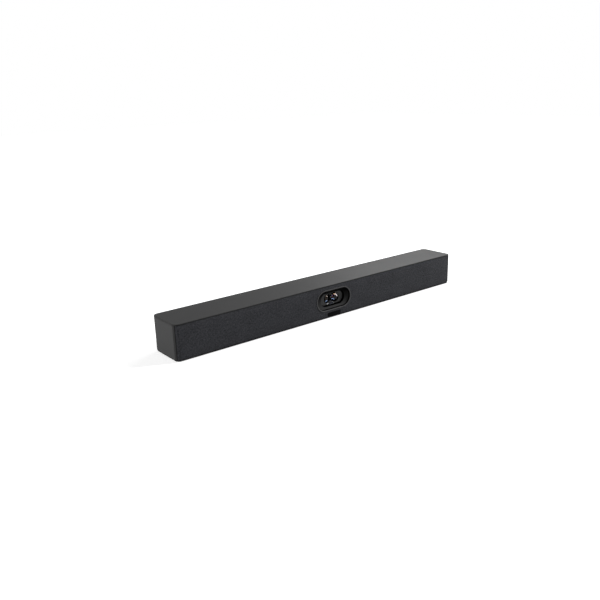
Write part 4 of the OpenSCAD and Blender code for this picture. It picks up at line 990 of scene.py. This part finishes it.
def screwHead():
    head, tall, soften = screw["head"], screw["headTall"], screw["headSoften"]
    bm = bmesh.new()
    bmesh.ops.create_circle(bm, cap_ends=True, segments=48, radius=head)
    raiseFaces(bm, list(bm.faces), tall)
    bevelEdges(bm, edgesAt(bm, tall), soften)
    bmesh.ops.inset_region(bm, faces=[highestFace(bm)], thickness=head - soften - screw["recess"], depth=0)
    level = [f for f in bm.faces if abs(f.calc_center_median().z - tall) < 1e-6]
    face = max(level, key=lambda f: len(f.verts))
    for v in face.verts:
        angle = math.atan2(v.co.y, v.co.x)
        v.co.xy *= 1 - screw["lobeDeep"] * (1 + math.cos(screw["lobes"] * angle))
    bmesh.ops.inset_region(bm, faces=[face], thickness=screw["draft"], depth=0)
    bmesh.ops.translate(bm, vec=(0, 0, -screw["recessDeep"]), verts=list(face.verts))
    return bm


def makeScrews():
    low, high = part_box("case_screws")
    under = low.z + screw["headTall"]
    length = high.z - under
    parts = []
    for x, y in screwPlaces():
        parts.append(placed(screwHead(), Matrix.Translation((x, y, under)) @ facingDown))
        shaft = bmesh.new()
        bmesh.ops.create_cone(shaft, cap_ends=True, segments=24, radius1=screw["shaft"],
                              radius2=screw["shaft"] * screw["taper"], depth=length)
        parts.append(placed(shaft, Matrix.Translation((x, y, under + length / 2))))
    addPiece("caseScrews", merged(parts), "screwSteel",
             replaces=["case_screws"], sharp=35)


makeScrews()
print("feet and screws made")

# Rubber surrounds of the loudspeaker cones
surround = {"rollRadius": 0.002, "wall": 0.0005, "middle": 0.02, "arcSteps": 8, "steps": 72}


# One half of the roll with its lip: side 1 is held by the basket, and side -1 by the cone
def surroundHalf(side, lip):
    roll, wall, middle, steps = (surround[k] for k in ("rollRadius", "wall", "middle", "arcSteps"))
    angles = [math.pi / 2 * k / steps for k in range(steps + 1)]
    outside, inside = ([(middle + side * r * math.sin(a), -wall - r * math.cos(a)) for a in angles]
                       for r in (roll, roll - wall))
    flange = [(middle + side * lip, -wall), (middle + side * lip, 0), (middle + side * (roll - wall), 0)]
    return outside + flange + inside[::-1]


def makeSurrounds():
    for word in ("left", "right"):
        low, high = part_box("speaker_surround_" + word)
        lip = (high.x - low.x) / 2 - surround["middle"]
        place = Matrix.Translation(((low.x + high.x) / 2, low.y, (low.z + high.z) / 2)) @ facingFront
        for part, side, body in (("outer", 1, "housing"), ("inner", -1, "cone_" + word)):
            half = turned(surroundHalf(side, lip), place, surround["steps"])
            addPiece(part + "Surround_" + word, half, "footRubber", body=body,
                     replaces=["speaker_surround_" + word], sharp=50)


makeSurrounds()
print("surrounds made")

# Contacts in the ports: reach is their share of the socket's width. They stand at a share of its height,
# moved by lift, and back is how far they are from its rear face
contacts = {
    "hdmi_socket": {"count": 9, "wide": 0.0005, "tall": 0.0013, "reach": 0.7,
                    "share": 0.5, "lift": 0, "back": 0.0046},
    "usb_a_socket": {"count": 4, "wide": 0.0011, "tall": 0.0019, "reach": 0.72,
                     "share": 0.62, "lift": -0.0001, "back": 0.0052},
    "ethernet_socket": {"count": 8, "wide": 0.0004, "tall": 0.0005, "reach": 0.6,
                        "share": 1, "lift": -0.0024, "back": 0.0062},
}
contactLength = 0.0065


def makeContacts():
    parts = []
    for name, row in contacts.items():
        low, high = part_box(name)
        inside = (high.x - low.x) * row["reach"]
        z = low.z + (high.z - low.z) * row["share"] + row["lift"] - row["tall"] / 2
        for k in range(row["count"]):
            x = (low.x + high.x) / 2 + inside * (k / (row["count"] - 1) - 0.5)
            bar = roundedPlate(row["wide"], contactLength, row["tall"], row["wide"] / 2 - endGap, 0, 4)
            parts.append(placed(bar, Matrix.Translation((x, high.y - row["back"], z))))
    addPiece("portContacts", merged(parts), "contactGold")


makeContacts()
print("ports made")

# Floor, world and lamps
studio = {
    "floorSize": 6,       # from its middle to its edges
    "floor": (0.5075, 0.5075, 0.5075),
    "nearGlow": 0.68,     # the floor's own light, up to near metres from the middle
    "farGlow": 1.0,       # and from far metres on
    "near": 1.0,
    "far": 3.0,
    "ambient": 0.13,      # the sky's light on the object
}


def makeFloor():
    bm = bmesh.new()
    bmesh.ops.create_grid(bm, x_segments=1, y_segments=1, size=studio["floorSize"])
    mesh = bpy.data.meshes.new("studioFloor")
    bm.to_mesh(mesh)
    bm.free()
    f = Finish("studioFloor")
    away = ((f.fromMiddle(f.place()) - studio["near"]) / (studio["far"] - studio["near"])).clamped()
    shade = f.mix(away, scaled(white, studio["nearGlow"]), scaled(white, studio["farGlow"]))
    plain = f.node("ShaderNodeBsdfDiffuse", None, {"Color": studio["floor"]})
    glow = f.node("ShaderNodeEmission", None, {"Color": f.mix(f.seenRays(), (0, 0, 0), shade)})
    mesh.materials.append(f.surface(f.node("ShaderNodeAddShader", None, {0: plain, 1: glow})))
    floor = bpy.data.objects.new("studioFloor", mesh)
    scene.collection.objects.link(floor)


def makeWorld():
    scene.world = bpy.data.worlds.new("studioWorld")
    f = Finish("studioWorld", scene.world)
    sky = f.mix(f.seenRays(), scaled(white, studio["ambient"]), white)
    f.surface(f.node("ShaderNodeBackground", None, {"Color": sky}))


lampTarget = Vector((0, 0, 0.03))
lamps = {
    "leftLamp": {"at": (-2.1, 0.5, 0.45), "size": (1.2, 0.8), "watts": 62},
    "backLamp": {"at": (0.7, 0.4, 0.5), "size": (0.5, 0.4), "watts": 6},
    "rightLamp": {"at": (3.5, -1.5, 3.25), "size": (1.0, 1.0), "watts": 335},
}


def makeLamps():
    for name, lamp in lamps.items():
        data = bpy.data.lights.new(name, "AREA")
        data.shape = "RECTANGLE"
        data.size, data.size_y = lamp["size"]
        data.energy = lamp["watts"]
        item = bpy.data.objects.new(name, data)
        at = Vector(lamp["at"])
        turn = (lampTarget - at).to_track_quat("-Z", "Y")
        item.matrix_world = Matrix.Translation(at) @ turn.to_matrix().to_4x4()
        scene.collection.objects.link(item)


makeFloor()
makeWorld()
makeLamps()
print("studio lit")

print("pieces done")
